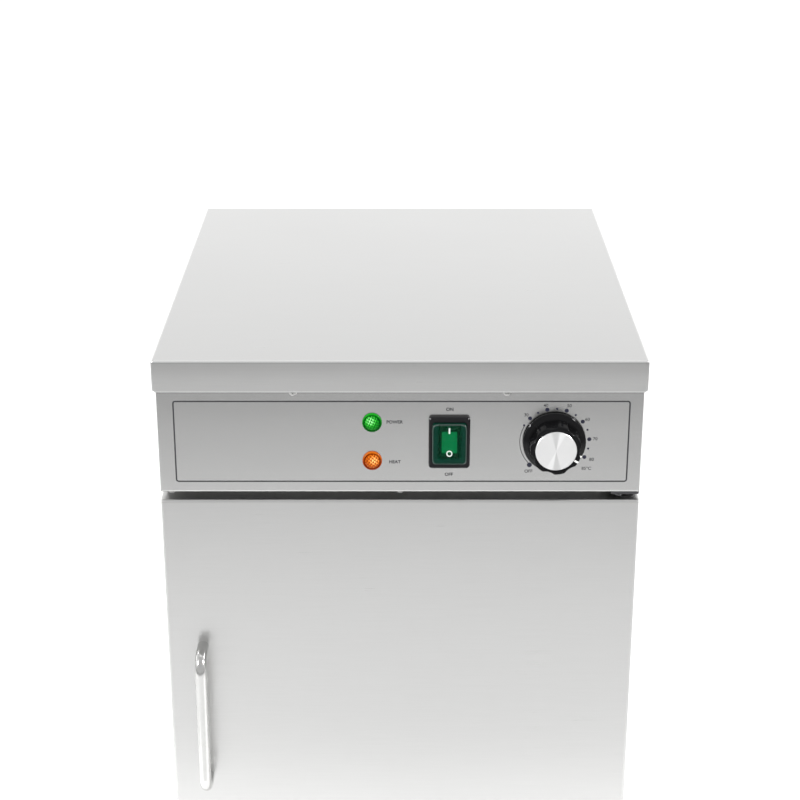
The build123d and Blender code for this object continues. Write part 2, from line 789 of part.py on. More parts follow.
def make_lamp_lens(z, label):
    """A coloured lens: a round flange on the fascia, a groove, a domed middle and a hollow stem behind."""
    flange_radius = lamp_flange_diameter / 2
    dome_radius = lamp_dome_diameter / 2
    stem_radius = lamp_stem_diameter / 2
    dome_reach = dome_radius - lamp_groove
    dome_rise = lamp_dome_height - lamp_flange
    dome_curve = (dome_reach**2 + dome_rise**2) / (2 * dome_rise)
    with BuildPart() as lens:
        with BuildSketch(Plane(origin=(lamp_x, front_y, z), x_dir=(1, 0, 0), z_dir=(0, 0, -1))):
            with BuildLine():
                Line((0, lamp_dome_height - lamp_wall), (0, lamp_dome_height))
                RadiusArc((0, lamp_dome_height), (dome_reach, lamp_flange), dome_curve)
                Polyline(
                    (dome_reach, lamp_flange),
                    (dome_radius - lamp_groove / 2, lamp_flange - lamp_groove / 2),
                    (dome_radius, lamp_flange),
                    (flange_radius - lamp_groove / 2, lamp_flange),
                    (flange_radius, lamp_flange - lamp_groove / 2),
                    (flange_radius, 0),
                    (stem_radius, 0),
                    (stem_radius, -lamp_stem_length),
                    (stem_radius - lamp_wall, -lamp_stem_length),
                    (stem_radius - lamp_wall, 0),
                    (0, lamp_dome_height - lamp_wall),
                )
            make_face()
        revolve(axis=forward_axis(lamp_x, z))
    lens.part.label = label
    return lens


green_lamp_lens = make_lamp_lens(control_z + lamp_spacing / 2, "green_lamp_lens")
orange_lamp_lens = make_lamp_lens(control_z - lamp_spacing / 2, "orange_lamp_lens")

with BuildPart() as lamp_bodies:
    bore = lamp_stem_diameter / 2 + lamp_hole_clearance
    for z in (control_z + lamp_spacing / 2, control_z - lamp_spacing / 2):
        turned_forward(lamp_x, z, [
            (bore, -sheet),
            (lamp_nut_diameter / 2, -sheet),
            (lamp_nut_diameter / 2, -sheet - lamp_nut),
            (lamp_body_diameter / 2, -sheet - lamp_nut),
            (lamp_body_diameter / 2, -lamp_body_length),
            (0, -lamp_body_length),
            (0, -lamp_stem_length),
            (bore, -lamp_stem_length),
        ])
lamp_bodies.part.label = "lamp_bodies"

# ------------------------------------------------------------------ rocker switch
pivot_y = front_y + rocker_pivot_depth
switch_back_y = front_y + switch_body_depth

with BuildPart() as switch_housing:
    with BuildSketch(front_plane(front_y)):
        with Locations((switch_x, control_z)):
            RectangleRounded(bezel_width, bezel_height, bezel_corner)
    extrude(amount=bezel_proud)
    chamfer(switch_housing.faces().sort_by(Axis.Y)[0].edges(), bezel_edge)
    block((switch_x - switch_body_width / 2, switch_x + switch_body_width / 2), (front_y, switch_back_y),
          (control_z - switch_body_height / 2, control_z + switch_body_height / 2))
    with BuildSketch(front_plane(front_y - bezel_proud)):
        with Locations((switch_x, control_z)):
            RectangleRounded(recess_width, recess_height, bezel_corner)
    extrude(amount=-(bezel_proud + recess_floor), mode=Mode.SUBTRACT)
    block((switch_x - slot_width / 2, switch_x + slot_width / 2), (front_y, front_y + slot_depth),
          (control_z - slot_height / 2, control_z + slot_height / 2), mode=Mode.SUBTRACT)
    pin_half = rocker_width / 2 + rocker_pin_length + rocker_pin_end_gap
    with BuildSketch(Plane.YZ.offset(switch_x - pin_half)):
        with Locations((pivot_y, control_z)):
            Circle(rocker_pin / 2 + rocker_pin_clearance)
    extrude(amount=2 * pin_half, mode=Mode.SUBTRACT)
switch_housing.part.label = "switch_housing"

with BuildPart() as switch_rocker:
    # local x runs forward out of the fascia and local y runs up; its top is pressed in, to the ON side
    rocker_side = (switch_x - rocker_width / 2, pivot_y, control_z)
    rocker_plane = Plane(origin=rocker_side, x_dir=(0, -1, 0), z_dir=(-1, 0, 0))
    half = rocker_height / 2
    back_half = rocker_back_height / 2
    edge = rocker_middle + rocker_end_rise
    with BuildSketch(rocker_plane.rotated((-rocker_tilt, 0, 0))):
        with BuildLine():
            Polyline(
                (rocker_middle, 0),
                (edge, half),
                (rocker_end_depth, half),
                (-rocker_back, back_half),
                (-rocker_back, -back_half),
                (rocker_end_depth, -half),
                (edge, -half),
                close=True,
            )
        make_face()
    extrude(amount=-rocker_width)
    with BuildSketch(Plane.YZ.offset(switch_x - rocker_width / 2 - rocker_pin_length)):
        with Locations((pivot_y, control_z)):
            Circle(rocker_pin / 2)
    extrude(amount=rocker_width + 2 * rocker_pin_length)
switch_rocker.part.label = "switch_rocker"

with BuildPart() as switch_cover:
    cover_width = recess_width - 2 * splash_clearance
    cover_height = recess_height - 2 * splash_clearance
    with BuildSketch(front_plane(front_y + recess_floor)):
        with Locations((switch_x, control_z)):
            RectangleRounded(cover_width, cover_height, splash_corner)
    extrude(amount=splash_proud + recess_floor)
    fillet(switch_cover.faces().sort_by(Axis.Y)[0].edges(), splash_corner - splash_wall)
    offset(amount=-splash_wall, openings=switch_cover.faces().sort_by(Axis.Y)[-1])
switch_cover.part.label = "switch_cover"

with BuildPart() as switch_tabs:
    with BuildSketch(front_plane(switch_back_y)):
        with Locations((switch_x, control_z)):
            with GridLocations(tab_column, tab_row, 2, 2):
                Rectangle(tab_thickness, tab_width)
    extrude(amount=-tab_length)
switch_tabs.part.label = "switch_tabs"

# ------------------------------------------------------------------ thermostat with its shaft and sensor bulb
thermostat_back = sheet + thermostat_depth

with BuildPart() as thermostat_body:
    block((dial_x - thermostat_width / 2, dial_x + thermostat_width / 2),
          (front_y + sheet, front_y + thermostat_back),
          (control_z - thermostat_width / 2, control_z + thermostat_width / 2))
    turned_forward(dial_x, control_z, [
        (0, -thermostat_back / 2),
        (thermostat_collar / 2, -thermostat_back / 2),
        (thermostat_collar / 2, thermostat_collar_proud),
        (0, thermostat_collar_proud),
    ])
    bore_radius = shaft_diameter / 2 + shaft_clearance
    drill_forward([(dial_x, control_z)], bore_radius, front_y - thermostat_collar_proud,
                  front_y + shaft_in_body + shaft_clearance)
    drill_forward([(dial_x - thermostat_screw_spacing / 2, control_z),
                   (dial_x + thermostat_screw_spacing / 2, control_z)],
                  screw_hole_radius, front_y + sheet, front_y + screw_length)
thermostat_body.part.label = "thermostat_body"

with BuildPart() as thermostat_shaft:
    with BuildSketch(front_plane(front_y + shaft_in_body)):
        with Locations((dial_x, control_z)):
            Circle(shaft_diameter / 2)
    extrude(amount=shaft_in_body + knob_gap + shaft_in_knob)
    flat_plane = front_plane(front_y - knob_gap)
    with BuildSketch(flat_plane):
        with Locations((dial_x, control_z + shaft_flat)):
            Rectangle(shaft_diameter, shaft_diameter)
    extrude(amount=shaft_in_knob, mode=Mode.SUBTRACT)
thermostat_shaft.part.label = "thermostat_shaft"

bulb_z = cavity_top_z - bulb_drop
bulb_start_y = capillary_down_y + capillary_forward
capillary_end = (capillary_x, bulb_start_y, bulb_z)

with BuildPart() as capillary_bulb:
    with BuildLine() as capillary_path:
        FilletPolyline(
            (capillary_x, capillary_start_y, control_z),
            (capillary_x, capillary_down_y, control_z),
            (capillary_x, capillary_down_y, bulb_z),
            capillary_end,
            radius=capillary_bend,
        )
    with BuildSketch(Plane(origin=(capillary_x, capillary_start_y, control_z), z_dir=(0, 1, 0))):
        Circle(capillary_diameter / 2)
    sweep(path=capillary_path.wires()[0])
    with BuildSketch(Plane(origin=capillary_end, z_dir=(0, 1, 0))):
        Circle(bulb_diameter / 2)
    extrude(amount=bulb_length)
    fillet(capillary_bulb.faces().sort_by(Axis.Y)[-1].edges(), bulb_end_round)
capillary_bulb.part.label = "capillary_bulb"

with BuildPart() as bulb_clips:
    clip_inner = bulb_diameter / 2 + bulb_clip_clearance
    clip_outer = clip_inner + bulb_clip_wall
    for clip in (-0.5, 0.5):
        clip_y = bulb_start_y + bulb_length / 2 + clip * bulb_clip_spacing
        with BuildSketch(front_plane(clip_y + bulb_clip_width / 2)):
            with Locations((capillary_x, bulb_z)):
                Circle(clip_outer)
                Circle(clip_inner, mode=Mode.SUBTRACT)
            with Locations((capillary_x, (bulb_z + clip_inner + cavity_top_z) / 2)):
                Rectangle(bulb_clip_wall, cavity_top_z - bulb_z - clip_inner)
            with Locations((capillary_x, cavity_top_z - bulb_clip_wall / 2)):
                Rectangle(bulb_clip_foot, bulb_clip_wall)
            with Locations((capillary_x, bulb_z - clip_outer)):
                Rectangle(bulb_clip_opening, clip_outer, mode=Mode.SUBTRACT)
        extrude(amount=bulb_clip_width)
bulb_clips.part.label = "bulb_clips"

# ------------------------------------------------------------------ knob and its spun disc
skirt_radius = knob_skirt_diameter / 2
shoulder_radius = knob_shoulder_diameter / 2
grip_radius = knob_grip_diameter / 2
front_radius = knob_front_diameter / 2
cap_radius = cap_diameter / 2
cap_seat = knob_height - cap_inset
pocket_outer = front_radius - knob_wall
pocket_front = knob_height - knob_web

with BuildPart() as knob_body:
    turned_forward(dial_x, control_z, [
        (0, knob_gap),
        (skirt_radius, knob_gap),
        (skirt_radius, knob_gap + knob_skirt_edge),
        (shoulder_radius, knob_shoulder_height),
        (grip_radius, knob_shoulder_height),
        (front_radius, knob_height - knob_front_round),
        (front_radius - knob_front_round, knob_height),
        (cap_radius + cap_clearance, knob_height),
        (cap_radius + cap_clearance, cap_seat),
        (0, cap_seat),
    ])
    flute_centre = front_radius + flute_diameter / 2 - flute_depth
    with BuildSketch(front_plane(front_y - knob_shoulder_height)):
        with Locations((dial_x, control_z)):
            flute_turn = 90 - knob_pointer_angle + 180 / knob_flutes
            with PolarLocations(flute_centre, knob_flutes, start_angle=flute_turn):
                Circle(flute_diameter / 2)
    extrude(amount=knob_height - knob_shoulder_height, mode=Mode.SUBTRACT)
    turned_forward(dial_x, control_z, [
        (knob_hub_diameter / 2, knob_gap),
        (pocket_outer, knob_gap),
        (pocket_outer, pocket_front),
        (knob_hub_diameter / 2, pocket_front),
    ], mode=Mode.SUBTRACT)
    turned_forward(dial_x, control_z, [
        (pocket_outer, knob_gap),
        (skirt_radius - knob_rim, knob_gap),
        (skirt_radius - knob_rim, knob_gap + knob_dish),
        (pocket_outer, knob_gap + knob_dish),
    ], mode=Mode.SUBTRACT)
    with BuildSketch(front_plane(front_y - knob_gap)):
        with Locations((dial_x, control_z)):
            Circle(shaft_diameter / 2 + pin_fixed_clearance)
        with Locations((dial_x, control_z + shaft_flat + pin_fixed_clearance)):
            Rectangle(2 * shaft_diameter, shaft_diameter, mode=Mode.SUBTRACT)
    extrude(amount=shaft_in_knob + pin_fixed_clearance, mode=Mode.SUBTRACT)
knob_body.part.label = "knob_body"

with BuildPart() as knob_cap:
    turned_forward(dial_x, control_z, [
        (0, cap_seat),
        (cap_radius, cap_seat),
        (cap_radius, cap_seat + cap_thickness - cap_edge),
        (cap_radius - cap_edge, cap_seat + cap_thickness),
        (0, cap_seat + cap_thickness),
    ])
knob_cap.part.label = "knob_cap"

# ------------------------------------------------------------------ terminal block
terminal_y = back_y - terminal_rear_gap
terminal_floor_z = bay_floor_z + sheet

with BuildPart() as terminal_block:
    block((terminal_x - terminal_width / 2, terminal_x + terminal_width / 2),
          (terminal_y - terminal_depth / 2, terminal_y + terminal_depth / 2),
          (terminal_floor_z, terminal_floor_z + terminal_height - terminal_step))
    block((terminal_x - terminal_width / 2, terminal_x + terminal_width / 2),
          (terminal_y - terminal_rib / 2, terminal_y + terminal_rib / 2),
          (terminal_floor_z, terminal_floor_z + terminal_height))
    poles = [(terminal_x + pole * terminal_pitch, terminal_y) for pole in (-1, 0, 1)]
    drill_upright(poles, terminal_screw / 2, terminal_floor_z + terminal_height - terminal_step,
                  terminal_floor_z + terminal_height)
    drill_forward([(place[0], terminal_floor_z + (terminal_height - terminal_step) / 2) for place in poles],
                  terminal_wire_hole / 2, terminal_y - terminal_depth / 2, terminal_y + terminal_depth / 2)
terminal_block.part.label = "terminal_block"

# ------------------------------------------------------------------ cable gland on the back panel
gland_hex_end = back_y + gland_hex_length
neck_end = gland_hex_end + gland_neck_length
gland_end = back_y + gland_reach
seal_start = neck_end - seal_seat
nut_start = gland_hex_end + nut_gap
nut_step = seal_start + seal_length + nut_gap


def hexagon_between(across_flats, y_from, y_to):
    """A hexagonal prism on the gland's line."""
    with BuildSketch(front_plane(y_to)) as section:
        with Locations((gland_x, gland_z)):
            RegularPolygon(across_flats / 2, 6, major_radius=False)
    extrude(section.sketch, amount=y_to - y_from)


def gland_round(diameter, y_from, y_to, mode=Mode.ADD):
    """A round length on the gland's line."""
    with BuildSketch(front_plane(y_to)) as section:
        with Locations((gland_x, gland_z)):
            Circle(diameter / 2)
    extrude(section.sketch, amount=y_to - y_from, mode=mode)


with BuildPart() as gland_body:
    gland_round(gland_thread, skin_back_y - gland_inner_length, back_y)
    hexagon_between(gland_hex, back_y, gland_hex_end)
    gland_round(gland_neck, gland_hex_end, neck_end)
    gland_round(gland_bore, skin_back_y - gland_inner_length, neck_end, mode=Mode.SUBTRACT)
    gland_round(seal_diameter + 2 * gland_thread_clearance, seal_start, neck_end, mode=Mode.SUBTRACT)
gland_body.part.label = "gland_body"

with BuildPart() as gland_lock_nut:
    hexagon_between(locknut_hex, skin_back_y - locknut_length, skin_back_y)
    gland_round(gland_thread + 2 * gland_thread_clearance, skin_back_y - locknut_length, skin_back_y,
                mode=Mode.SUBTRACT)
gland_lock_nut.part.label = "gland_lock_nut"

with BuildPart() as gland_seal:
    gland_round(seal_diameter, seal_start, seal_start + seal_length)
    gland_round(seal_bore, seal_start, seal_start + seal_length, mode=Mode.SUBTRACT)
gland_seal.part.label = "gland_seal"

with BuildPart() as gland_dome_nut:
    hexagon_between(gland_hex, nut_start, nut_step)
    turned_forward(gland_x, gland_z, [
        (0, front_y - nut_start),
        (gland_hex / 2, front_y - nut_start),
        (gland_hex / 2, front_y - nut_step),
        (gland_bore / 2 + gland_lip, front_y - gland_end),
        (0, front_y - gland_end),
    ])
    gland_round(gland_neck + 2 * gland_thread_clearance, nut_start, nut_step, mode=Mode.SUBTRACT)
    gland_round(gland_bore, nut_step, gland_end, mode=Mode.SUBTRACT)
gland_dome_nut.part.label = "gland_dome_nut"

# ------------------------------------------------------------------ door: sheets, insulation and gasket
bush_radius = bush_diameter / 2

with BuildPart() as door_outer_skin:
    block((-half_width, half_width), (front_y, door_back_y), (door_bottom_z, door_top_z))
    fillet(door_outer_skin.faces().sort_by(Axis.Y)[0].edges(), bend_radius)
    offset(amount=-sheet, openings=door_outer_skin.faces().sort_by(Axis.Y)[-1])
    for z in (door_bottom_z, door_top_z - sheet):
        drill_upright([(hinge_x, hinge_y)], bush_radius, z, z + sheet)
    drill_forward([(handle_x, door_middle_z - handle_length / 2),
                   (handle_x, door_middle_z + handle_length / 2)],
                  screw_hole_radius, front_y, front_y + sheet)
door_outer_skin.part.label = "door_outer_skin"

field_half = gasket_half - gasket_width / 2 - panel_field_inset
field_bottom_z = gasket_bottom_z + gasket_width / 2 + panel_field_inset
field_top_z = gasket_top_z - gasket_width / 2 - panel_field_inset

with BuildPart() as door_inner_panel:
    block((-half_width + sheet, half_width - sheet), (door_back_y - sheet, door_back_y),
          (door_bottom_z + sheet, door_top_z - sheet))
    block((-field_half, field_half), (door_back_y - sheet, door_back_y + panel_field_rise),
          (field_bottom_z, field_top_z))
    field_edges = door_inner_panel.faces().sort_by(Axis.Y)[-1].edges()
    fillet(field_edges, panel_field_round)
    block((-field_half + sheet, field_half - sheet),
          (door_back_y - sheet, door_back_y + panel_field_rise - sheet),
          (field_bottom_z + sheet, field_top_z - sheet), mode=Mode.SUBTRACT)
door_inner_panel.part.label = "door_inner_panel"

slab_right = hinge_x - bush_flange_diameter / 2
with BuildPart() as door_insulation:
    block((-half_width + sheet, slab_right), (front_y + sheet, door_back_y - sheet),
          (door_bottom_z + sheet, door_top_z - sheet))
    for z in (door_middle_z - handle_length / 2, door_middle_z + handle_length / 2):
        block((handle_x - handle_pocket / 2, handle_x + handle_pocket / 2),
              (front_y + sheet, front_y + sheet + handle_pocket_depth),
              (z - handle_pocket / 2, z + handle_pocket / 2), mode=Mode.SUBTRACT)
    left_edge = door_insulation.edges().filter_by(Axis.Z).group_by(Axis.Y)[0].sort_by(Axis.X)[0]
    chamfer(left_edge, bend_radius)
    for end in (0, -1):
        front_edges = door_insulation.faces().sort_by(Axis.Y)[0].edges().filter_by(Axis.X)
        chamfer(front_edges.sort_by(Axis.Z)[end], bend_radius)
door_insulation.part.label = "door_insulation"

with BuildPart() as door_gasket:
    gasket_middle_z = (gasket_top_z + gasket_bottom_z) / 2
    gasket_height = gasket_top_z - gasket_bottom_z
    with BuildSketch(front_plane(door_back_y)):
        with Locations((0, gasket_middle_z)):
            RectangleRounded(2 * gasket_half + gasket_width, gasket_height + gasket_width, gasket_width)
            RectangleRounded(2 * gasket_half - gasket_width, gasket_height - gasket_width, gasket_hollow,
                             mode=Mode.SUBTRACT)
    extrude(amount=-(gasket_thickness - gasket_clearance))
    fillet(door_gasket.faces().sort_by(Axis.Y)[-1].edges(), gasket_round)
door_gasket.part.label = "door_gasket"

# ------------------------------------------------------------------ door: handle, its screws, bushes, striker
handle_bottom_z = door_middle_z - handle_length / 2
handle_top_z = door_middle_z + handle_length / 2
handle_line_y = front_y - handle_reach + handle_bar / 2

with BuildPart() as door_handle:
    with BuildLine() as handle_path:
        FilletPolyline(
            (handle_x, front_y, handle_bottom_z),
            (handle_x, handle_line_y, handle_bottom_z),
            (handle_x, handle_line_y, handle_top_z),
            (handle_x, front_y, handle_top_z),
            radius=handle_bend,
        )
    with BuildSketch(front_plane(front_y)):
        with Locations((handle_x, handle_bottom_z)):
            Circle(handle_bar / 2)
    sweep(path=handle_path.wires()[0])
    drill_forward([(handle_x, handle_bottom_z), (handle_x, handle_top_z)], screw_hole_radius,
                  front_y - handle_screw_depth, front_y)
door_handle.part.label = "door_handle"

with BuildPart() as handle_screws:
    for z in (handle_bottom_z, handle_top_z):
        turned_forward(handle_x, z, pan_head_points(-sheet, -1))
handle_screws.part.label = "handle_screws"

with BuildPart() as hinge_bushes:
    inner = pin_radius + pin_running_clearance
    for seat_z, way in ((door_bottom_z, 1), (door_top_z, -1)):
        turned_upright(hinge_x, hinge_y, [
            (inner, seat_z - way * bush_flange),
            (bush_flange_diameter / 2, seat_z - way * bush_flange),
            (bush_flange_diameter / 2, seat_z),
            (bush_radius, seat_z),
            (bush_radius, seat_z + way * pin_reach),
            (inner, seat_z + way * pin_reach),
        ])
hinge_bushes.part.label = "hinge_bushes"

with BuildPart() as catch_striker:
    block((catch_x - striker_width / 2, catch_x + striker_width / 2),
          (door_back_y, jamb_y - catch_nose - striker_gap),
          (door_middle_z - striker_height / 2, door_middle_z + striker_height / 2))
    fillet(catch_striker.edges().filter_by(Axis.Y), striker_corner)
catch_striker.part.label = "catch_striker"

# ------------------------------------------------------------------ hinge brackets, pins and catch
bracket_inner_x = half_width - bracket_width
bracket_front_y = front_y + bracket_front_inset
bracket_xs = (bracket_inner_x, half_width)

with BuildPart() as top_hinge_bracket:
    block(bracket_xs, (bracket_front_y, jamb_y - bracket_edge_gap),
          (fascia_bottom_z - bracket_thickness, fascia_bottom_z))
    fillet(top_hinge_bracket.edges().filter_by(Axis.Z), bend_radius)
    drill_upright([(hinge_x, hinge_y)], pin_radius + pin_fixed_clearance,
                  fascia_bottom_z - bracket_thickness, fascia_bottom_z)
    drill_upright([(bracket_screw_x, y) for y in top_screw_y], screw_hole_radius,
                  fascia_bottom_z - bracket_thickness, fascia_bottom_z)
top_hinge_bracket.part.label = "top_hinge_bracket"

with BuildPart() as bottom_hinge_bracket:
    block(bracket_xs, (bracket_front_y, bracket_front_y + bottom_bracket_length),
          (foot_height - bracket_thickness, foot_height))
    fillet(bottom_hinge_bracket.edges().filter_by(Axis.Z), bend_radius)
    drill_upright([(hinge_x, hinge_y)], pin_radius + pin_fixed_clearance,
                  foot_height - bracket_thickness, foot_height)
    drill_upright([(base_screw_x, y) for y in bottom_bracket_screw_y], screw_hole_radius,
                  foot_height - bracket_thickness, foot_height)
bottom_hinge_bracket.part.label = "bottom_hinge_bracket"

with BuildPart() as hinge_pins:
    collar_z = door_bottom_z - bush_flange - bush_seat_gap
    turned_upright(hinge_x, hinge_y, [
        (0, foot_height - bracket_thickness),
        (pin_radius, foot_height - bracket_thickness),
        (pin_radius, foot_height),
        (bush_radius, foot_height),
        (bush_radius, collar_z),
        (pin_radius, collar_z),
        (pin_radius, door_bottom_z + pin_reach),
        (0, door_bottom_z + pin_reach),
    ])
    turned_upright(hinge_x, hinge_y, [
        (0, fascia_bottom_z),
        (pin_radius, fascia_bottom_z),
        (pin_radius, door_top_z - pin_reach),
        (0, door_top_z - pin_reach),
    ])
hinge_pins.part.label = "hinge_pins"

with BuildPart() as magnet_catch:
    block((catch_x - catch_width / 2, catch_x + catch_width / 2), (jamb_y - catch_nose, jamb_y + catch_depth),
          (door_middle_z - catch_height / 2, door_middle_z + catch_height / 2))
    block((catch_x - catch_width / 2 - catch_lip, catch_x + catch_width / 2 + catch_lip),
          (jamb_y - catch_lip_thickness, jamb_y),
          (door_middle_z - catch_height / 2 - catch_ear, door_middle_z + catch_height / 2 + catch_ear))
magnet_catch.part.label = "magnet_catch"

# ------------------------------------------------------------------ screws of the cabinet
with BuildPart() as cabinet_screws:
    for x in (-cover_screw_x, cover_screw_x):
        turned_forward(x, cover_screw_z, pan_head_points(0, 1))
    for x in (dial_x - thermostat_screw_spacing / 2, dial_x + thermostat_screw_spacing / 2):
        turned_forward(x, control_z, pan_head_points(0, 1))
    for side in (-1, 1):
        for z in rear_screw_z:
            turned_forward(side * rear_screw_x, z, pan_head_points(-body_depth, -1))
        turned_forward(side * lid_rear_screw_x, lid_screw_z,
                       pan_head_points(-body_depth - cover_end_overhang, -1))
        for y in base_screw_y:
            turned_upright(side * base_screw_x, y, pan_head_points(foot_height, -1))
    for x in (-bottom_screw_x, 0):
        turned_upright(x, bottom_screw_y, pan_head_points(fascia_bottom_z, -1))
    for y in top_screw_y:
        turned_upright(bracket_screw_x, y, pan_head_points(fascia_bottom_z - bracket_thickness, -1))
    for y in bottom_bracket_screw_y:
        turned_upright(base_screw_x, y, pan_head_points(foot_height - bracket_thickness, -1))
cabinet_screws.part.label = "cabinet_screws"

# ------------------------------------------------------------------ levelling feet and their sockets
with BuildPart() as foot_sockets:
    for place in foot_places.values():
        turned_upright(place[0], place[1], [
            (socket_bore / 2, foot_height - socket_flange),
            (socket_flange_diameter / 2, foot_height - socket_flange),
            (socket_flange_diameter / 2, foot_height),
            (socket_barrel / 2, foot_height),
            (socket_barrel / 2, foot_height + socket_length),
            (socket_bore / 2, foot_height + socket_length),
        ])
foot_sockets.part.label = "foot_sockets"


def make_foot(place, label):
    """One levelling foot, moulded in one piece: a pad, a tapering neck and a threaded stem."""
    pad_radius = foot_pad_diameter / 2
    neck_radius = foot_neck_diameter / 2
    stem_radius = foot_stem / 2
    shoulder_z = foot_height - socket_flange
    with BuildPart() as foot:
        turned_upright(place[0], place[1], [
            (0, 0),
            (pad_radius - foot_pad_round, 0),
            (pad_radius, foot_pad_round),
            (pad_radius, foot_pad_height),
            (neck_radius, shoulder_z),
            (stem_radius, shoulder_z),
            (stem_radius, shoulder_z + foot_stem_length),
            (0, shoulder_z + foot_stem_length),
        ])
    foot.part.label = label
    return foot


feet = [make_foot(place, f"{corner}_foot") for corner, place in foot_places.items()]

# ------------------------------------------------------------------ one STEP file for each piece
pieces = [
    top_cover, control_fascia, front_cross_rail, left_side_panel, right_side_panel, back_panel, base_panel,
    control_bay_floor, cavity_ceiling, cavity_floor, cavity_left_wall, cavity_right_wall, cavity_back_wall,
    side_insulation, top_insulation, back_insulation, heating_element, element_straps, element_guard,
    shelf_rails, lower_shelf, upper_shelf, green_lamp_lens, orange_lamp_lens, lamp_bodies, switch_housing,
    switch_rocker, switch_cover, switch_tabs, thermostat_body, thermostat_shaft, capillary_bulb, bulb_clips,
    knob_body, knob_cap, terminal_block, gland_body, gland_lock_nut, gland_seal, gland_dome_nut,
    door_outer_skin, door_inner_panel, door_insulation, door_gasket, door_handle, handle_screws,
    hinge_bushes, catch_striker, top_hinge_bracket, bottom_hinge_bracket, hinge_pins, magnet_catch,
    cabinet_screws, foot_sockets, *feet,
]

os.makedirs("parts", exist_ok=True)
for piece in pieces:
    export_step(piece.part, f"parts/{piece.part.label}.step")
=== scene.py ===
import math

import bmesh
import bpy
from mathutils import Matrix, Vector


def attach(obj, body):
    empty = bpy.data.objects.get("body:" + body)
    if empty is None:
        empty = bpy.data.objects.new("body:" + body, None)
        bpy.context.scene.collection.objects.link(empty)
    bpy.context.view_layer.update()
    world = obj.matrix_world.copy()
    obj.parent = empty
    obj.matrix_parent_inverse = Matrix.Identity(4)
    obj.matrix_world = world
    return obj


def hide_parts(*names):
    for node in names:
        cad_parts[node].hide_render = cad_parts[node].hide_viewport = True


bl_info = {
    "name": "Plate warmer cabinet",
    "version": (1, 0, 0),
    "blender": (4, 5, 0),
    "location": "3D View > Sidebar > Cabinet",
    "description": "Dresses the plate warmer cabinet and sets its stage",
    "category": "Add Mesh",
}

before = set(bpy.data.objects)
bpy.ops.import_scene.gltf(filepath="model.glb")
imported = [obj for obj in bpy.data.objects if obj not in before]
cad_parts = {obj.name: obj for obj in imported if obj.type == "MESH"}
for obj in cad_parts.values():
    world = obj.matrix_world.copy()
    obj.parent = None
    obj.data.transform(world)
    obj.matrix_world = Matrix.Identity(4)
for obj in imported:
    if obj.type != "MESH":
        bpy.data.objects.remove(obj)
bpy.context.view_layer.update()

MM = 0.001
FRONT_Y = -230.0 * MM  # outer face of the control fascia and of the door
CONTROL_Z = 498.0 * MM  # height of the dial and of the switch
DIAL_X = 127.3 * MM
SWITCH_X = 40.7 * MM
LAMP_X = -23.0 * MM
PRINT_LIFT = 0.05 * MM  # how far printed ink stands out
CAPITAL_SHARE = 0.7  # of a font's size that its capitals fill
FACET_PITCH = 2.2 * MM  # of the lamp lenses
UPRIGHT = Matrix(((1, 0, 0, 0), (0, 0, -1, 0), (0, 1, 0, 0), (0, 0, 0, 1)))  # a drawing's plane turned to face -Y
POINTER_ANGLE = 118.8  # where the knob's line stands, in degrees clockwise from the top
CORE = 1e-5  # radius in millimetres that stands for the middle of a turned shape
SQUARE = ((-1, -1), (1, -1), (1, 1), (-1, 1))


# ---------- shader maths
class Value:
    """A number that varies over a surface and takes part in Python expressions."""

    def __init__(self, look, socket):
        self.look = look
        self.socket = socket

    def _math(self, operation, *numbers):
        node = self.look.node("ShaderNodeMath", {"operation": operation}, dict(enumerate(numbers)))
        return Value(self.look, node.outputs[0])

    def __add__(self, other):
        return self._math("ADD", self, other)

    __radd__ = __add__

    def __sub__(self, other):
        return self._math("SUBTRACT", self, other)

    def __rsub__(self, other):
        return self._math("SUBTRACT", other, self)

    def __mul__(self, other):
        return self._math("MULTIPLY", self, other)

    __rmul__ = __mul__

    def __truediv__(self, other):
        return self._math("DIVIDE", self, other)

    def __pow__(self, other):
        return self._math("POWER", self, other)

    def __abs__(self):
        return self._math("ABSOLUTE", self)

    def fraction(self):
        return self._math("FRACT", self)

    def cosine(self):
        return self._math("COSINE", self)

    def angle_from(self, other):
        return self._math("ARCTAN2", self, other)


def named_socket(node, key):
    """A node's input by its number, identifier or name."""
    if isinstance(key, int):
        return node.inputs[key]
    return next(socket for socket in node.inputs if key in (socket.identifier, socket.name))


class Wiring:
    """A node tree and the way to add to it."""

    def node(self, kind, settings=None, sockets=None):
        """Adds a node: first its settings, then a value or a link for each socket, by name or by number."""
        node = self.tree.nodes.new(kind)
        for key, setting in (settings or {}).items():
            setattr(node, key, setting)
        for key, value in (sockets or {}).items():
            socket = named_socket(node, key)
            source = value.socket if isinstance(value, Value) else value
            if isinstance(source, bpy.types.NodeSocket):
                self.tree.links.new(source, socket)
            else:
                socket.default_value = source
        return node


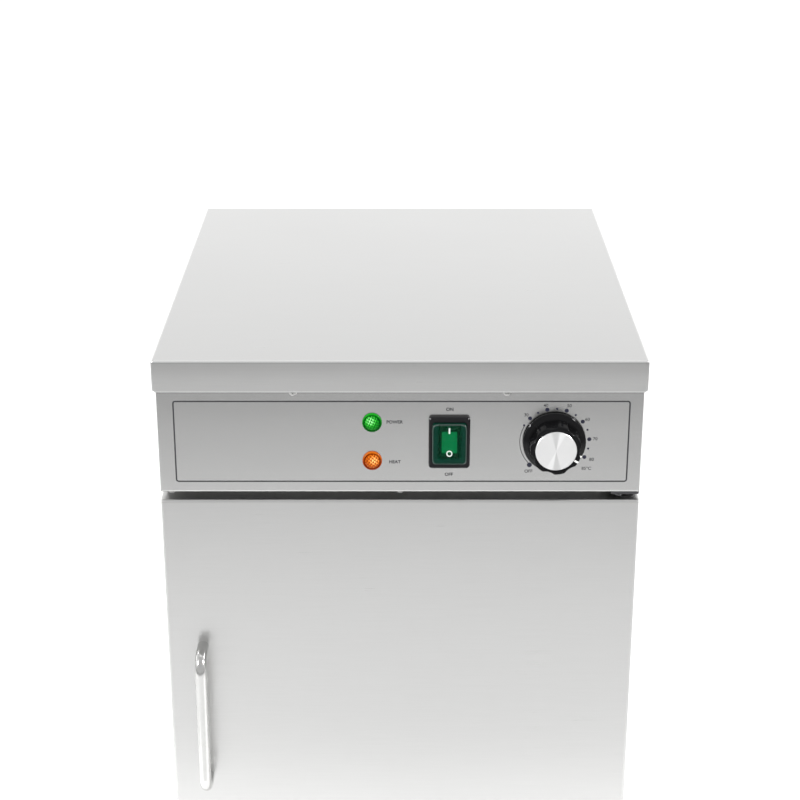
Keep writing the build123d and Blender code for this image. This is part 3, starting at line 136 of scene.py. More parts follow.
class Look(Wiring):
    """A material or a world and the nodes that draw it."""

    def __init__(self, name, kind="materials"):
        self.owner = getattr(bpy.data, kind).new(name)
        self.owner.use_nodes = True
        self.tree = self.owner.node_tree
        self.tree.nodes.clear()

    def place(self):
        """The point on the piece, in metres in the cabinet's frame."""
        return self.node("ShaderNodeTexCoord").outputs["Object"]

    def axes(self, place=None):
        """The point's x, y and z as values."""
        split = self.node("ShaderNodeSeparateXYZ", sockets={0: place or self.place()})
        return [Value(self, output) for output in split.outputs]

    def stretched(self, factors):
        """The point scaled by its own factor on each axis."""
        node = self.node("ShaderNodeVectorMath", {"operation": "MULTIPLY"}, {0: self.place(), 1: factors})
        return node.outputs[0]

    def noise(self, place, scale=1.0, detail=2.0, roughness=0.5):
        node = self.node("ShaderNodeTexNoise", sockets={
            "Vector": place, "Scale": scale, "Detail": detail, "Roughness": roughness})
        return Value(self, node.outputs[0])

    def cells(self, place, scale):
        node = self.node("ShaderNodeTexVoronoi", sockets={"Vector": place, "Scale": scale})
        return Value(self, node.outputs["Distance"])

    def between(self, value, low, high):
        """0 below low, 1 above high and smooth between them."""
        node = self.node("ShaderNodeMapRange", {"interpolation_type": "SMOOTHSTEP"},
                         {"Value": value, "From Min": low, "From Max": high})
        return Value(self, node.outputs[0])

    def mix(self, factor, first, second):
        """A colour between two colours."""
        node = self.node("ShaderNodeMix", {"data_type": "RGBA"},
                         {"Factor_Float": factor, "A_Color": first, "B_Color": second})
        return node.outputs[2]

    def bump(self, height, distance, strength=1.0):
        node = self.node("ShaderNodeBump", sockets={"Strength": strength, "Distance": distance, "Height": height})
        return node.outputs[0]

    def surface(self, **sockets):
        """Ends the material in a principled shader. A word's underscores stand for spaces."""
        named = {key.replace("_", " "): value for key, value in sockets.items()}
        shader = self.node("ShaderNodeBsdfPrincipled", sockets=named)
        self.node("ShaderNodeOutputMaterial", sockets={"Surface": shader.outputs[0]})
        return self.owner


def tint(red, green, blue):
    return (red, green, blue, 1.0)


def grey(level):
    return tint(level, level, level)


def distance(across, up):
    """How far a point is from the middle, by its two offsets."""
    return (across * across + up * up) ** 0.5


def shade(colour, factor):
    """A colour made lighter or darker."""
    return tint(*(channel * factor for channel in colour[:3]))


# ---------- materials
def satin_sheet(name, colour, roughness, along, bands):
    """Stainless sheet: a fine grain along one axis (0 for x, 1 for y, 2 for z) and faint wipe marks. Each band is two
    heights in millimetres, between which its tone sets in, and the tone of its painted light and shade: lighter for a
    painted highlight on a fold, darker for a painted shade strip."""
    look = Look(name)
    grain, streaks = [
        look.noise(look.stretched([lengthwise if axis == along else crosswise for axis in range(3)]))
        for lengthwise, crosswise in ((22.0, 1700.0), (5.0, 420.0))]
    marks = look.noise(look.place(), scale=7.0, detail=3.0, roughness=0.55)
    toning = look.between(grain * 0.8 + streaks * 0.2, 0.3, 0.7)

    def toned(factor):
        return look.mix(toning, shade(colour, 0.985 * factor), shade(colour, 1.012 * factor))

    base = toned(1.0)
    height = look.axes()[2] if bands else None
    # Each band paints light and shade: a lighter or darker tone of the sheet between two heights.
    for start, full, factor in bands:
        base = look.mix(look.between(height, start * MM, full * MM), base, toned(factor))
    rough = roughness + (grain - 0.5) * 0.05 + (marks - 0.5) * 0.04
    return look.surface(Base_Color=base, Metallic=1.0, Roughness=rough, Normal=look.bump(grain, 0.004 * MM, 0.35))


def zinc_sheet(name, colour):
    """Zinc coated sheet with a faint spangle."""
    look = Look(name)
    spangle = look.cells(look.place(), 160.0)
    cloud = look.noise(look.place(), scale=30.0, detail=3.0)
    base = look.mix(look.between(spangle, 0.1, 0.7), shade(colour, 0.9), shade(colour, 1.06))
    return look.surface(Base_Color=base, Metallic=1.0, Roughness=0.38 + cloud * 0.18)


def plain_metal(name, colour, roughness, wear):
    """Plated, turned or drawn metal with slight cloudiness."""
    look = Look(name)
    cloud = look.noise(look.place(), scale=140.0, detail=3.0)
    base = look.mix(look.between(cloud, 0.3, 0.7), shade(colour, 1.0 - wear), shade(colour, 1.0 + wear / 2))
    return look.surface(Base_Color=base, Metallic=1.0, Roughness=roughness + (cloud - 0.5) * wear)


def moulding(name, colour, roughness, grain, sheen=0.5):
    """Moulded plastic or rubber: gloss or a fine grain, with slight unevenness of the gloss."""
    look = Look(name)
    cloud = look.noise(look.place(), scale=60.0)
    speckle = look.noise(look.place(), scale=2600.0, detail=1.0)
    base = look.mix(cloud, shade(colour, 0.92), shade(colour, 1.08))
    return look.surface(Base_Color=base, Roughness=roughness + (cloud - 0.5) * 0.06,
                        Specular_IOR_Level=sheen, Normal=look.bump(speckle, 0.02 * MM, grain))


def mineral_wool():
    """Pressed mineral wool: matted fibres in level layers."""
    look = Look("wool_fibres")
    fibres = look.noise(look.stretched((900.0, 900.0, 2600.0)), detail=4.0, roughness=0.7)
    tufts = look.noise(look.place(), scale=55.0, detail=4.0)
    base = look.mix(tufts, tint(0.34, 0.3, 0.17), tint(0.6, 0.55, 0.36))
    return look.surface(Base_Color=base, Roughness=0.95, Normal=look.bump(fibres * 0.5 + tufts, 1.2 * MM, 0.9))


def heated_sheath():
    """The heater's tube, browned by heat in bands."""
    look = Look("sheath_browned")
    bands = look.noise(look.stretched((6.0, 9.0, 6.0)))
    spots = look.noise(look.place(), scale=400.0, detail=3.0)
    base = look.mix(look.between(bands + (spots - 0.5) * 0.4, 0.35, 0.65), tint(0.2, 0.16, 0.13), tint(0.36, 0.33, 0.3))
    return look.surface(Base_Color=base, Metallic=0.85, Roughness=0.5 + (spots - 0.5) * 0.2)


def ink(name, colour):
    """Screen-printed ink."""
    look = Look(name)
    cover = look.noise(look.place(), scale=1500.0, detail=1.0)
    return look.surface(Base_Color=look.mix(cover, shade(colour, 0.9), shade(colour, 1.1)), Roughness=0.55)


def spun_disc():
    """The knob's aluminium disc: bright metal with turned grooves. Its spun sheen is a painted reflection: two soft
    dark wedges and two bright streaks painted into the colour by angle.
    """
    look = Look("disc_spun")
    wander = look.noise(look.place(), scale=500.0)
    x, _, z = look.axes()
    angle = (x - DIAL_X).angle_from(z - CONTROL_Z)
    painted_dark_wedge = look.between((angle * 2 + 0.12).cosine(), 0.86, 1.0)
    painted_bright_streak = look.between((angle * 2 - 0.62).cosine(), 0.9, 1.0)
    # Painted reflection: the dark wedges and the bright streaks stand in for the spun metal's conical sheen.
    tone = 0.6 - painted_dark_wedge * 0.6 + painted_bright_streak * 0.4 + (wander - 0.5) * 0.05
    return look.surface(Base_Color=look.mix(tone, grey(0.63), grey(0.88)), Metallic=0.7,
                        Roughness=0.28 + wander * 0.03)


def lit_lens(name, dark, bright, pale, centre_z, turn, hot_spot, strength):
    """A coloured lens that its lamp lights from behind. Painted shade and highlight: each facet is dark on one side
    and bright on the other, and the facets near the hot spot, (across, up) from the middle, are the palest, a painted
    highlight on top of the lamp's glow. The outer ring is painted lighter towards its top."""
    look = Look(name)
    x, _, z = look.axes()
    across = x - LAMP_X
    up = z - centre_z
    radius = distance(across, up)
    dome = 1 - look.between(radius, 5.9 * MM, 6.4 * MM)
    # Painted highlight: the glow is brightest and palest about the hot spot, away from the lens's middle.
    spread = distance(across - hot_spot[0], up - hot_spot[1])
    middle = 1 - look.between(spread, 0.3 * MM, 7.0 * MM)
    hot = 1 - look.between(spread, 0.2 * MM, 5.0 * MM)
    along_first = (across * math.cos(turn) - up * math.sin(turn)) / FACET_PITCH
    along_second = (across * math.sin(turn) + up * math.cos(turn)) / FACET_PITCH
    # Painted shade and highlight: each facet dark on one side and bright on the other.
    facets = look.between(along_first.fraction() + along_second.fraction(), 0.9, 1.15)
    # Painted highlight: the outer ring lighter towards its top.
    ring = look.between(radius, 6.9 * MM, 7.5 * MM) * look.between(up, -5.0 * MM, 8.0 * MM) * 0.3
    lit = dome * (0.02 + middle * 0.1 + facets * (0.2 + middle * 0.8)) + ring
    glow = look.mix(dome * hot * facets, look.mix(lit, shade(dark, 0.4), bright), pale)
    return look.surface(Base_Color=look.mix(lit, dark, shade(bright, 0.4)), Roughness=0.1, Specular_IOR_Level=0.1,
                        Coat_Weight=0.02, Coat_Roughness=0.04, Emission_Color=glow, Emission_Strength=strength)


def lit_rocker():
    """The switch's green rocker, lit from behind in its middle."""
    look = Look("rocker_lit")
    x, _, z = look.axes()
    wide = 1 - look.between(abs(x - SWITCH_X), 5.9 * MM, 6.6 * MM)
    tall = 1 - look.between(abs(z - (CONTROL_Z + 0.4 * MM)), 8.2 * MM, 9.4 * MM)
    lit = wide * tall
    cloud = look.noise(look.place(), scale=160.0)
    return look.surface(Base_Color=look.mix(lit, tint(0.001, 0.02, 0.008), tint(0.002, 0.14, 0.04)),
                        Roughness=0.25 + cloud * 0.06, Specular_IOR_Level=0.3,
                        Emission_Color=look.mix(lit, tint(0.0, 0.008, 0.003), tint(0.0, 0.3, 0.085)),
                        Emission_Strength=1.1)


def milky_marks():
    """The rocker's white marks. Their glow is partly the lamp behind the rocker and partly painted light: they glow
    far brighter than the lit rocker, also where they reach past its lit window.
    """
    look = Look("marks_white")
    milky = look.noise(look.place(), scale=900.0)
    # Painted light in part: the white glow is stronger than the lamp behind the rocker gives.
    return look.surface(Base_Color=look.mix(milky, tint(0.85, 0.86, 0.84), tint(0.93, 0.93, 0.92)), Roughness=0.5,
                        Emission_Color=grey(1.0), Emission_Strength=2.2)


def clear_cover():
    """The splash cover: soft plastic, clear in the middle and thick with a green cast around it. A pale line near
    its edge is a painted highlight.
    """
    look = Look("splash_cover")
    x, _, z = look.axes()
    cloud = look.noise(look.place(), scale=110.0)
    wide = look.between(abs(x - SWITCH_X), 8.2 * MM, 10.6 * MM)
    tall = look.between(abs(z - (CONTROL_Z + 2.5 * MM)), 13.6 * MM, 16.0 * MM)
    thick = 1 - (1 - wide) * (1 - tall)
    # Painted highlight: a pale line just inside the cover's edge, where its rounded lip would catch the light.
    half_width, half_height = 14.3 * MM, 18.05 * MM
    outward = (abs(x - SWITCH_X) / half_width) ** 10 + (abs(z - CONTROL_Z) / half_height) ** 10
    rim = look.between(outward, 0.45, 0.62) * (1 - look.between(outward, 0.85, 1.0))
    body = look.mix(thick, tint(0.0, 0.032, 0.012), tint(0.001, 0.03, 0.018))
    return look.surface(Base_Color=look.mix(rim, body, tint(0.045, 0.06, 0.055)), Roughness=0.12 + cloud * 0.06,
                        Alpha=0.38 + thick * 0.5 + rim * 0.12, Specular_IOR_Level=0.12)


# ---------- meshes
def linked(name, data):
    """A new object in the scene."""
    thing = bpy.data.objects.new(name, data)
    bpy.context.scene.collection.objects.link(thing)
    return thing


def finish_piece(name, mesh, material, body, replaced=(), crease=35.0):
    """Links a finished mesh as a piece that rides on a body, with its material and replaced nodes."""
    mesh.materials.clear()
    mesh.materials.append(material)
    mesh.shade_smooth()
    mesh.set_sharp_from_angle(angle=math.radians(crease))
    piece = linked(name, mesh)
    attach(piece, body)
    if replaced:
        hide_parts(*replaced)


class Shape:
    """Vertices and faces that are gathered before they become one mesh. The matrix places what is added next."""

    def __init__(self, matrix=None):
        self.vertices = []
        self.faces = []
        self.matrix = matrix or Matrix.Identity(4)

    def add(self, vertices, faces):
        start = len(self.vertices)
        self.vertices += [tuple(self.matrix @ Vector(vertex)) for vertex in vertices]
        self.faces += [[start + corner for corner in face] for face in faces]

    def mesh(self, name, merge=1e-7):
        """The gathered shape as a mesh whose doubles are merged and whose faces point outwards."""
        mesh = bpy.data.meshes.new(name)
        mesh.from_pydata(self.vertices, [], self.faces)
        work = bmesh.new()
        work.from_mesh(mesh)
        bmesh.ops.remove_doubles(work, verts=work.verts, dist=merge)
        bmesh.ops.recalc_face_normals(work, faces=work.faces)
        work.to_mesh(mesh)
        work.free()
        return mesh

    def strip(self, rows, closed):
        """A bar with a row of points along each of its four edges. An open one has a face on each end."""
        count = len(rows[0])
        faces = []
        for step in range(count if closed else count - 1):
            after = (step + 1) % count
            for first, second in ((0, 1), (1, 3), (3, 2), (2, 0)):
                faces.append([first * count + step, first * count + after,
                              second * count + after, second * count + step])
        if not closed:
            faces += [[end, count + end, 3 * count + end, 2 * count + end] for end in (0, count - 1)]
        self.add([point for row in rows for point in row], faces)

    def band(self, outer, inner, half, closed=True):
        """A flat strip between two rows of (x, y) points, as high above them as below."""
        self.strip([[(x, y, z) for x, y in row] for z in (-half, half) for row in (outer, inner)], closed)

    def slab(self, outline, half):
        """A flat plate with a straight edge, from (x, y) points, as high above them as below."""
        count = len(outline)
        faces = [range(count), range(count, 2 * count)]
        for step in range(count):
            after = (step + 1) % count
            faces.append([step, after, count + after, count + step])
        self.add([(x, y, z) for z in (-half, half) for x, y in outline], faces)

    def turned(self, profile, segments, warp=None):
        """A shape turned about z from (radius, height) points. warp gives a point's new radius and height."""
        vertices, faces = [], []
        for radius, height in profile:
            for segment in range(segments):
                angle = 2 * math.pi * segment / segments
                far, up = warp(radius, height, angle) if warp else (radius, height)
                vertices.append((far * math.cos(angle), far * math.sin(angle), up))
        for ring in range(len(profile) - 1):
            here, above = ring * segments, (ring + 1) * segments
            for segment in range(segments):
                after = (segment + 1) % segments
                faces.append([here + segment, here + after, above + after, above + segment])
        self.add(vertices, faces)


def circle(radius, count):
    """A circle about the middle, as (x, y) points."""
    angles = [2 * math.pi * step / count for step in range(count)]
    return [(radius * math.cos(angle), radius * math.sin(angle)) for angle in angles]


def rounded_outline(width, height, radius, centre, corner_steps=8):
    """A rectangle with round corners, as (x, y) points."""
    points = []
    for quarter, (side_x, side_y) in enumerate(((1, 1), (-1, 1), (-1, -1), (1, -1))):
        corner = (centre[0] + side_x * (width / 2 - radius), centre[1] + side_y * (height / 2 - radius))
        for step in range(corner_steps + 1):
            angle = math.pi / 2 * (quarter + step / corner_steps)
            points.append((corner[0] + radius * math.cos(angle), corner[1] + radius * math.sin(angle)))
    return points


def facing_front(x=0.0, y=FRONT_Y, z=0.0):
    """Turns a drawing to face the door side, with its middle at a point, by default on the fascia."""
    return Matrix.Translation((x, y, z)) @ UPRIGHT


def lettering(shape, text, height, centre, bold):
    """Adds plain lettering on the fascia to a shape, its middle at centre = (x, z)."""
    curve = bpy.data.curves.new("lettering", "FONT")
    curve.body = text
    curve.size = height / CAPITAL_SHARE
    curve.align_x = curve.align_y = "CENTER"
    curve.extrude = PRINT_LIFT
    curve.offset = bold
    curve.resolution_u = 4
    carrier = linked("lettering", curve)
    graph = bpy.context.evaluated_depsgraph_get()
    mesh = bpy.data.meshes.new_from_object(carrier.evaluated_get(graph))
    shape.matrix = facing_front() @ Matrix.Translation((*centre, 0))
    shape.add([vertex.co for vertex in mesh.vertices], [polygon.vertices for polygon in mesh.polygons])
    bpy.data.objects.remove(carrier)
    bpy.data.curves.remove(curve)
    bpy.data.meshes.remove(mesh)


def dress(material, *nodes):
    """Gives CAD nodes a material through their slots."""
    for node in nodes:
        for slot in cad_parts[node].material_slots:
            slot.material = material


# ---------- geometry nodes
SEAT_VALUES = (("facing", "FLOAT_VECTOR"), ("spin", "FLOAT"), ("size", "FLOAT"))


class Growth(Wiring):
    """A geometry node tree that takes a source mesh, an object by the name of its part, and a material."""

    def __init__(self, name, part):
        self.tree = bpy.data.node_groups.new(name, "GeometryNodeTree")
        for label, side, kind in (("Geometry", "INPUT", "Geometry"), (part, "INPUT", "Object"),
                                  ("Material", "INPUT", "Material"), ("Geometry", "OUTPUT", "Geometry")):
            self.tree.interface.new_socket(label, in_out=side, socket_type=f"NodeSocket{kind}")
        self.given = self.node("NodeGroupInput").outputs
        info = self.node("GeometryNodeObjectInfo", {"transform_space": "ORIGINAL"}, {"Object": self.given[part]})
        self.part = info.outputs["Geometry"]

    def flow(self, kind, settings=None, sockets=None):
        """Adds a node and gives its first output."""
        return self.node(kind, settings, sockets).outputs[0]

    def close(self, geometry):
        """Ends the tree: instances are realized and the material is set."""
        real = self.flow("GeometryNodeRealizeInstances", sockets={0: geometry})
        done = self.flow("GeometryNodeSetMaterial", sockets={"Geometry": real, "Material": self.given["Material"]})
        self.node("NodeGroupOutput", sockets={0: done})
        return self

    def grow(self, mesh, values):
        """The plain mesh that the tree makes of a source mesh."""
        carrier = linked(self.tree.name, mesh)
        modifier = carrier.modifiers.new(self.tree.name, "NODES")
        modifier.node_group = self.tree
        for item in self.tree.interface.items_tree:
            if item.in_out == "INPUT" and item.name in values:
                modifier[item.identifier] = values[item.name]
        graph = bpy.context.evaluated_depsgraph_get()
        grown = bpy.data.meshes.new_from_object(carrier.evaluated_get(graph), depsgraph=graph)
        bpy.data.objects.remove(carrier)
        return grown


def seats_tree():
    """A copy of one object on each seat, turned to face the seat's way, spun and sized by the seat's own numbers."""
    growth = Growth("Pieces on seats", "Piece")
    points = growth.flow("GeometryNodeMeshToPoints", {"mode": "VERTICES"}, {"Mesh": growth.given["Geometry"]})
    facing, spin, size = [growth.flow("GeometryNodeInputNamedAttribute", {"data_type": kind}, {"Name": name})
                          for name, kind in SEAT_VALUES]
    spun = growth.flow("FunctionNodeAxisAngleToRotation", None, {"Axis": (0, 0, 1), "Angle": spin})
    aimed = growth.flow("FunctionNodeAlignRotationToVector", {"axis": "Z"}, {"Rotation": spun, "Vector": facing})
    return growth.close(growth.flow("GeometryNodeInstanceOnPoints", None, {
        "Points": points, "Instance": growth.part, "Rotation": aimed, "Scale": size}))


def grow_on_seats(pattern_mesh, seats, material):
    """One mesh of a pattern's copies on seats, each (place, facing, size). The spin follows the seat's number."""
    spin_step = 2.4
    mesh = bpy.data.meshes.new("seats")
    mesh.from_pydata([place for place, _, _ in seats], [], [])
    for name, kind in SEAT_VALUES:
        mesh.attributes.new(name, kind, "POINT")
    for number, (_, way, scale) in enumerate(seats):
        mesh.attributes["facing"].data[number].vector = way
        mesh.attributes["spin"].data[number].value = (number * spin_step) % math.pi
        mesh.attributes["size"].data[number].value = scale
    pattern = linked("pattern", pattern_mesh)
    grown = seats_tree().grow(mesh, {"Piece": pattern, "Material": material})
    bpy.data.objects.remove(pattern)
    return grown


def moulded_strip_tree():
    """One profile drawn along a closed path."""
    growth = Growth("Profile along a path", "Profile")
    path = growth.flow("GeometryNodeMeshToCurve", None, {"Mesh": growth.given["Geometry"]})
    upright = growth.flow("GeometryNodeSetCurveNormal", {"mode": "Z_UP"}, {"Curve": path})
    outline = growth.flow("GeometryNodeMeshToCurve", None, {"Mesh": growth.part})
    return growth.close(growth.flow("GeometryNodeCurveToMesh", None, {"Curve": upright, "Profile Curve": outline}))


def loop_mesh(name, points):
    """A closed chain of edges through (x, y, z) points."""
    mesh = bpy.data.meshes.new(name)
    mesh.from_pydata(points, [(step, (step + 1) % len(points)) for step in range(len(points))], [])
    return mesh


# ---------- settings
def colour_setting(name, description, default):
    return bpy.props.FloatVectorProperty(
        name=name, description=description, subtype="COLOR", default=default, min=0.0, max=1.0)


class CabinetSteel(bpy.types.PropertyGroup):
    """The sheet metal."""

    colour: colour_setting("Steel colour", "Reflectance of the stainless sheet", (0.58, 0.58, 0.575))
    roughness: bpy.props.FloatProperty(
        name="Roughness", description="How matt the satin finish is", default=0.29, min=0.05, max=0.9)


class CabinetPrint(bpy.types.PropertyGroup):
    """The printing on the fascia."""

    line_width: bpy.props.FloatProperty(
        name="Line width", description="Width of the printed frame's line", default=1.2 * MM, unit="LENGTH")
    letter_height: bpy.props.FloatProperty(
        name="Letter height", description="Height of the capitals", default=2.7 * MM, unit="LENGTH")
    colour: colour_setting("Ink colour", "Colour of the printed lines and letters", (0.02, 0.021, 0.024))


class CabinetControls(bpy.types.PropertyGroup):
    """The lamps, the switch and the knob."""

    green: colour_setting("Green", "Light of the power lamp", (0.012, 0.6, 0.01))
    orange: colour_setting("Orange", "Light of the heat lamp", (1.0, 0.26, 0.006))
    glow: bpy.props.FloatProperty(
        name="Glow", description="Strength of the lamps' light", default=1.0, min=0.0, max=10.0)


class CabinetStage(bpy.types.PropertyGroup):
    """The floor, the light and the camera."""

    floor_tone: bpy.props.FloatProperty(
        name="Floor tone", description="Reflectance of the pale floor", default=0.9, min=0.0, max=1.0)
    lens: bpy.props.FloatProperty(
        name="Lens", description="Focal length of the camera", default=81.54, unit="CAMERA")
    back_wall: bpy.props.FloatProperty(
        name="Back wall", description="Brightness of the studio behind the cabinet", default=0.88, min=0.0)
    horizon_glow: bpy.props.FloatProperty(
        name="Horizon glow", description="How much brighter the wall behind the cabinet is near the floor",
        default=1.0, min=0.0)
    front_wall: bpy.props.FloatProperty(
        name="Front wall", description="Brightness of the studio behind the camera", default=0.62, min=0.0)
    overhead: bpy.props.FloatProperty(
        name="Overhead light", description="Even soft light on the floor", default=1.35, min=0.0)
    card_distance: bpy.props.FloatProperty(
        name="Card distance", description="How far from the cabinet the dark card around it begins",
        default=0.5, unit="LENGTH")
    tilt: bpy.props.FloatProperty(
        name="Tilt", description="How far the camera looks down", default=math.radians(21.334), subtype="ANGLE")


# ---------- operators
# Painted light and shade on the lid: a painted highlight on the top fold, a painted shade line under it, the front
# apron painted lighter towards its foot, and a painted highlight along the apron's lower edge.
LID_PAINTED_LIGHT_AND_SHADE_BANDS = ((569.8, 569.3, 1.65), (568.7, 568.3, 0.9), (567.4, 567.0, 1.0), (570.0, 548.0, 1.2), (543.8, 543.2, 1.5))
# Painted shade on the fascia: darker towards the apron above it, with a painted shadow line just under the apron's
# edge.
FASCIA_PAINTED_SHADE_BANDS = ((505.0, 536.0, 0.94), (539.8, 541.2, 0.8))
# Painted light and shade on the door: a painted highlight on its top fold with a painted shade line just below it.
DOOR_PAINTED_LIGHT_AND_SHADE_BANDS = ((441.7, 442.2, 0.93), (442.9, 443.4, 1.18))
SHEETS = (  # name, tone, added roughness, axis of the grain, bands of painted light and shade, nodes
    ("lid_satin", 1.0, 0.0, 0, LID_PAINTED_LIGHT_AND_SHADE_BANDS, ("top_cover",)),
    ("fascia_satin", 1.0, -0.06, 0, FASCIA_PAINTED_SHADE_BANDS, ("control_fascia",)),
    ("door_satin", 1.0, 0.0, 0, DOOR_PAINTED_LIGHT_AND_SHADE_BANDS, ("door_outer_skin",)),
    ("side_satin", 1.0, 0.0, 1, (), ("left_side_panel", "right_side_panel")),
    ("back_satin", 0.95, 0.05, 0, (), ("back_panel",)),
    ("lining_satin", 0.95, -0.04, 1, (), (
        "cavity_ceiling", "cavity_floor", "cavity_left_wall", "cavity_right_wall", "cavity_back_wall",
        "element_guard", "shelf_rails", "door_inner_panel")),
)
PLAIN_METALS = (  # name, colour, roughness, wear, nodes
    ("shelf_plating", (0.72, 0.72, 0.73), 0.14, 0.08, ("lower_shelf", "upper_shelf")),
    ("strip_steel", (0.5, 0.5, 0.49), 0.35, 0.08, ("element_straps", "bulb_clips")),
    # Painted shade: the hinge brackets, and the hinge screws that take their finish, are near black to stand in for the
    # shade of the gap under the fascia.
    ("hinge_blackened", (0.1, 0.1, 0.105), 0.4, 0.08, ("top_hinge_bracket", "bottom_hinge_bracket")),
    ("zinc_plated", (0.52, 0.53, 0.56), 0.32, 0.08, ("catch_striker",)),
    ("ground_pin", (0.62, 0.62, 0.62), 0.18, 0.08, ("hinge_pins", "thermostat_shaft")),
    ("handle_polished", (0.66, 0.66, 0.65), 0.16, 0.04, ("door_handle",)),
    ("tab_brass", (0.72, 0.55, 0.26), 0.3, 0.08, ("switch_tabs",)),
    ("tube_copper", (0.72, 0.36, 0.22), 0.3, 0.14, ("capillary_bulb",)),
    ("screw_stainless", (0.5, 0.5, 0.49), 0.38, 0.08, ("handle_screws", "cabinet_screws")),
)
MOULDINGS = (  # name, colour, roughness, grain, nodes
    ("nylon_white", (0.78, 0.77, 0.72), 0.5, 0.3, ("terminal_block",)),
    ("nylon_black", (0.02, 0.02, 0.021), 0.5, 0.5, (
        "lamp_bodies", "gland_body", "gland_lock_nut", "gland_dome_nut", "magnet_catch", "foot_sockets",
        # Painted shade: the hinge bushes are black to stand in for the shade of the gap.
        "hinge_bushes")),
    ("foot_black", (0.022, 0.022, 0.022), 0.55, 0.6, (
        "front_left_foot", "front_right_foot", "rear_left_foot", "rear_right_foot")),
    ("rubber_black", (0.02, 0.02, 0.022), 0.62, 0.3, ("gland_seal",)),
    ("bakelite", (0.16, 0.11, 0.07), 0.4, 0.2, ("thermostat_body",)),
)


class DressCasing(bpy.types.Operator):
    """Gives the casing, the cavity and the plain hardware their materials"""

    bl_idname = "cabinet.casing"
    bl_label = "Casing and cavity"

    def execute(self, context):
        steel = context.scene.cabinet_steel
        for name, tone, rougher, along, bands, nodes in SHEETS:
            dress(satin_sheet(name, shade(steel.colour, tone), steel.roughness + rougher, along, bands), *nodes)
        dress(zinc_sheet("zinc_sheet", tint(0.6, 0.61, 0.62)), "base_panel", "control_bay_floor", "front_cross_rail")
        dress(mineral_wool(), "side_insulation", "top_insulation", "back_insulation", "door_insulation")
        dress(heated_sheath(), "heating_element")
        for name, colour, roughness, wear, nodes in PLAIN_METALS:
            dress(plain_metal(name, colour, roughness, wear), *nodes)
        for name, colour, roughness, grain, nodes in MOULDINGS:
            dress(moulding(name, colour, roughness, grain), *nodes)
        return {"FINISHED"}


class PrintFascia(bpy.types.Operator):
    """Prints the frame, the dial's scale and the labels on the fascia"""

    bl_idname = "cabinet.print"
    bl_label = "Fascia printing"

    def execute(self, context):
        setting = context.scene.cabinet_print
        dark = ink("ink_dark", tint(*setting.colour))

        def printed(name, shape):
            finish_piece(name, shape.mesh(name), dark, "cabinet")

        width, height, middle = 374.5 * MM, 71.4 * MM, (1.25 * MM, CONTROL_Z - 0.2 * MM)
        corner = 1.9 * MM
        line = setting.line_width
        outer, inner = [
            rounded_outline(width + side * line, height + side * line, corner + side * line / 2, middle)
            for side in (1, -1)]
        lines = Shape(facing_front())
        lines.band(outer, inner, PRINT_LIFT)
        printed("printed_frame", lines)

        degree_marks = {25: -60.2, 30: -44.8, 35: -29.0, 40: -12.9, 45: 3.0, 50: 19.2, 55: 35.8, 60: 52.4, 65: 69.1,
                        70: 86.0, 75: 102.6, 80: POINTER_ANGLE}
        dots_radius, off_angle, off_size = 29.0 * MM, -136.5, 2.05
        dots = [(angle, 1.7 if degrees % 10 == 0 else 0.9) for degrees, angle in degree_marks.items()]
        dots.append((off_angle, off_size))
        dot = Shape()
        dot.slab(circle(1.0 * MM, 24), PRINT_LIFT)
        seats = []
        for angle, size in dots:
            x, z = dial_point(angle, dots_radius)
            seats.append(((x, FRONT_Y, z), (0.0, -1.0, 0.0), size))
        dot_ink = ink("ink_blue_black", tint(0.008, 0.009, 0.03))
        finish_piece("dial_dots", grow_on_seats(dot.mesh("dot"), seats, dot_ink), dot_ink, "cabinet")

        arc_start, arc_sweep, arc_steps = -134.0, 73.0, 30
        arc_radius, arc_half = 28.4 * MM, 0.26 * MM
        sweep_angles = [arc_start + arc_sweep * step / arc_steps for step in range(arc_steps + 1)]
        scale = Shape(facing_front())
        scale.band([dial_point(angle, arc_radius + arc_half) for angle in sweep_angles],
                   [dial_point(angle, arc_radius - arc_half) for angle in sweep_angles], PRINT_LIFT, closed=False)
        printed("dial_scale", scale)

        words = Shape()
        dial_words = (("OFF", -20.6, -26.8), ("30", -23.6, 23.5), ("40", -7.7, 31.8), ("50", 11.6, 31.6),
                      ("60", 26.8, 19.6), ("70", 33.8, 2.2), ("80", 31.5, -16.2), ("85°C", 27.4, -24.3))
        for word, across, up in dial_words:
            lettering(words, word, setting.letter_height, (DIAL_X + across * MM, CONTROL_Z + up * MM), 0.05 * MM)
        labels = (("POWER", -4.5, 515.2), ("HEAT", -4.3, 479.6), ("ON", 40.9, 526.4), ("OFF", 40.5, 468.3))
        for word, across, up in labels:
            lettering(words, word, setting.letter_height, (across * MM, up * MM), 0.12 * MM)
        printed("fascia_words", words)
        return {"FINISHED"}


def dial_point(angle, radius):
    """A point of the dial, at an angle in degrees clockwise from the top."""
    turn = math.radians(angle)
    return (DIAL_X + radius * math.sin(turn), CONTROL_Z + radius * math.cos(turn))


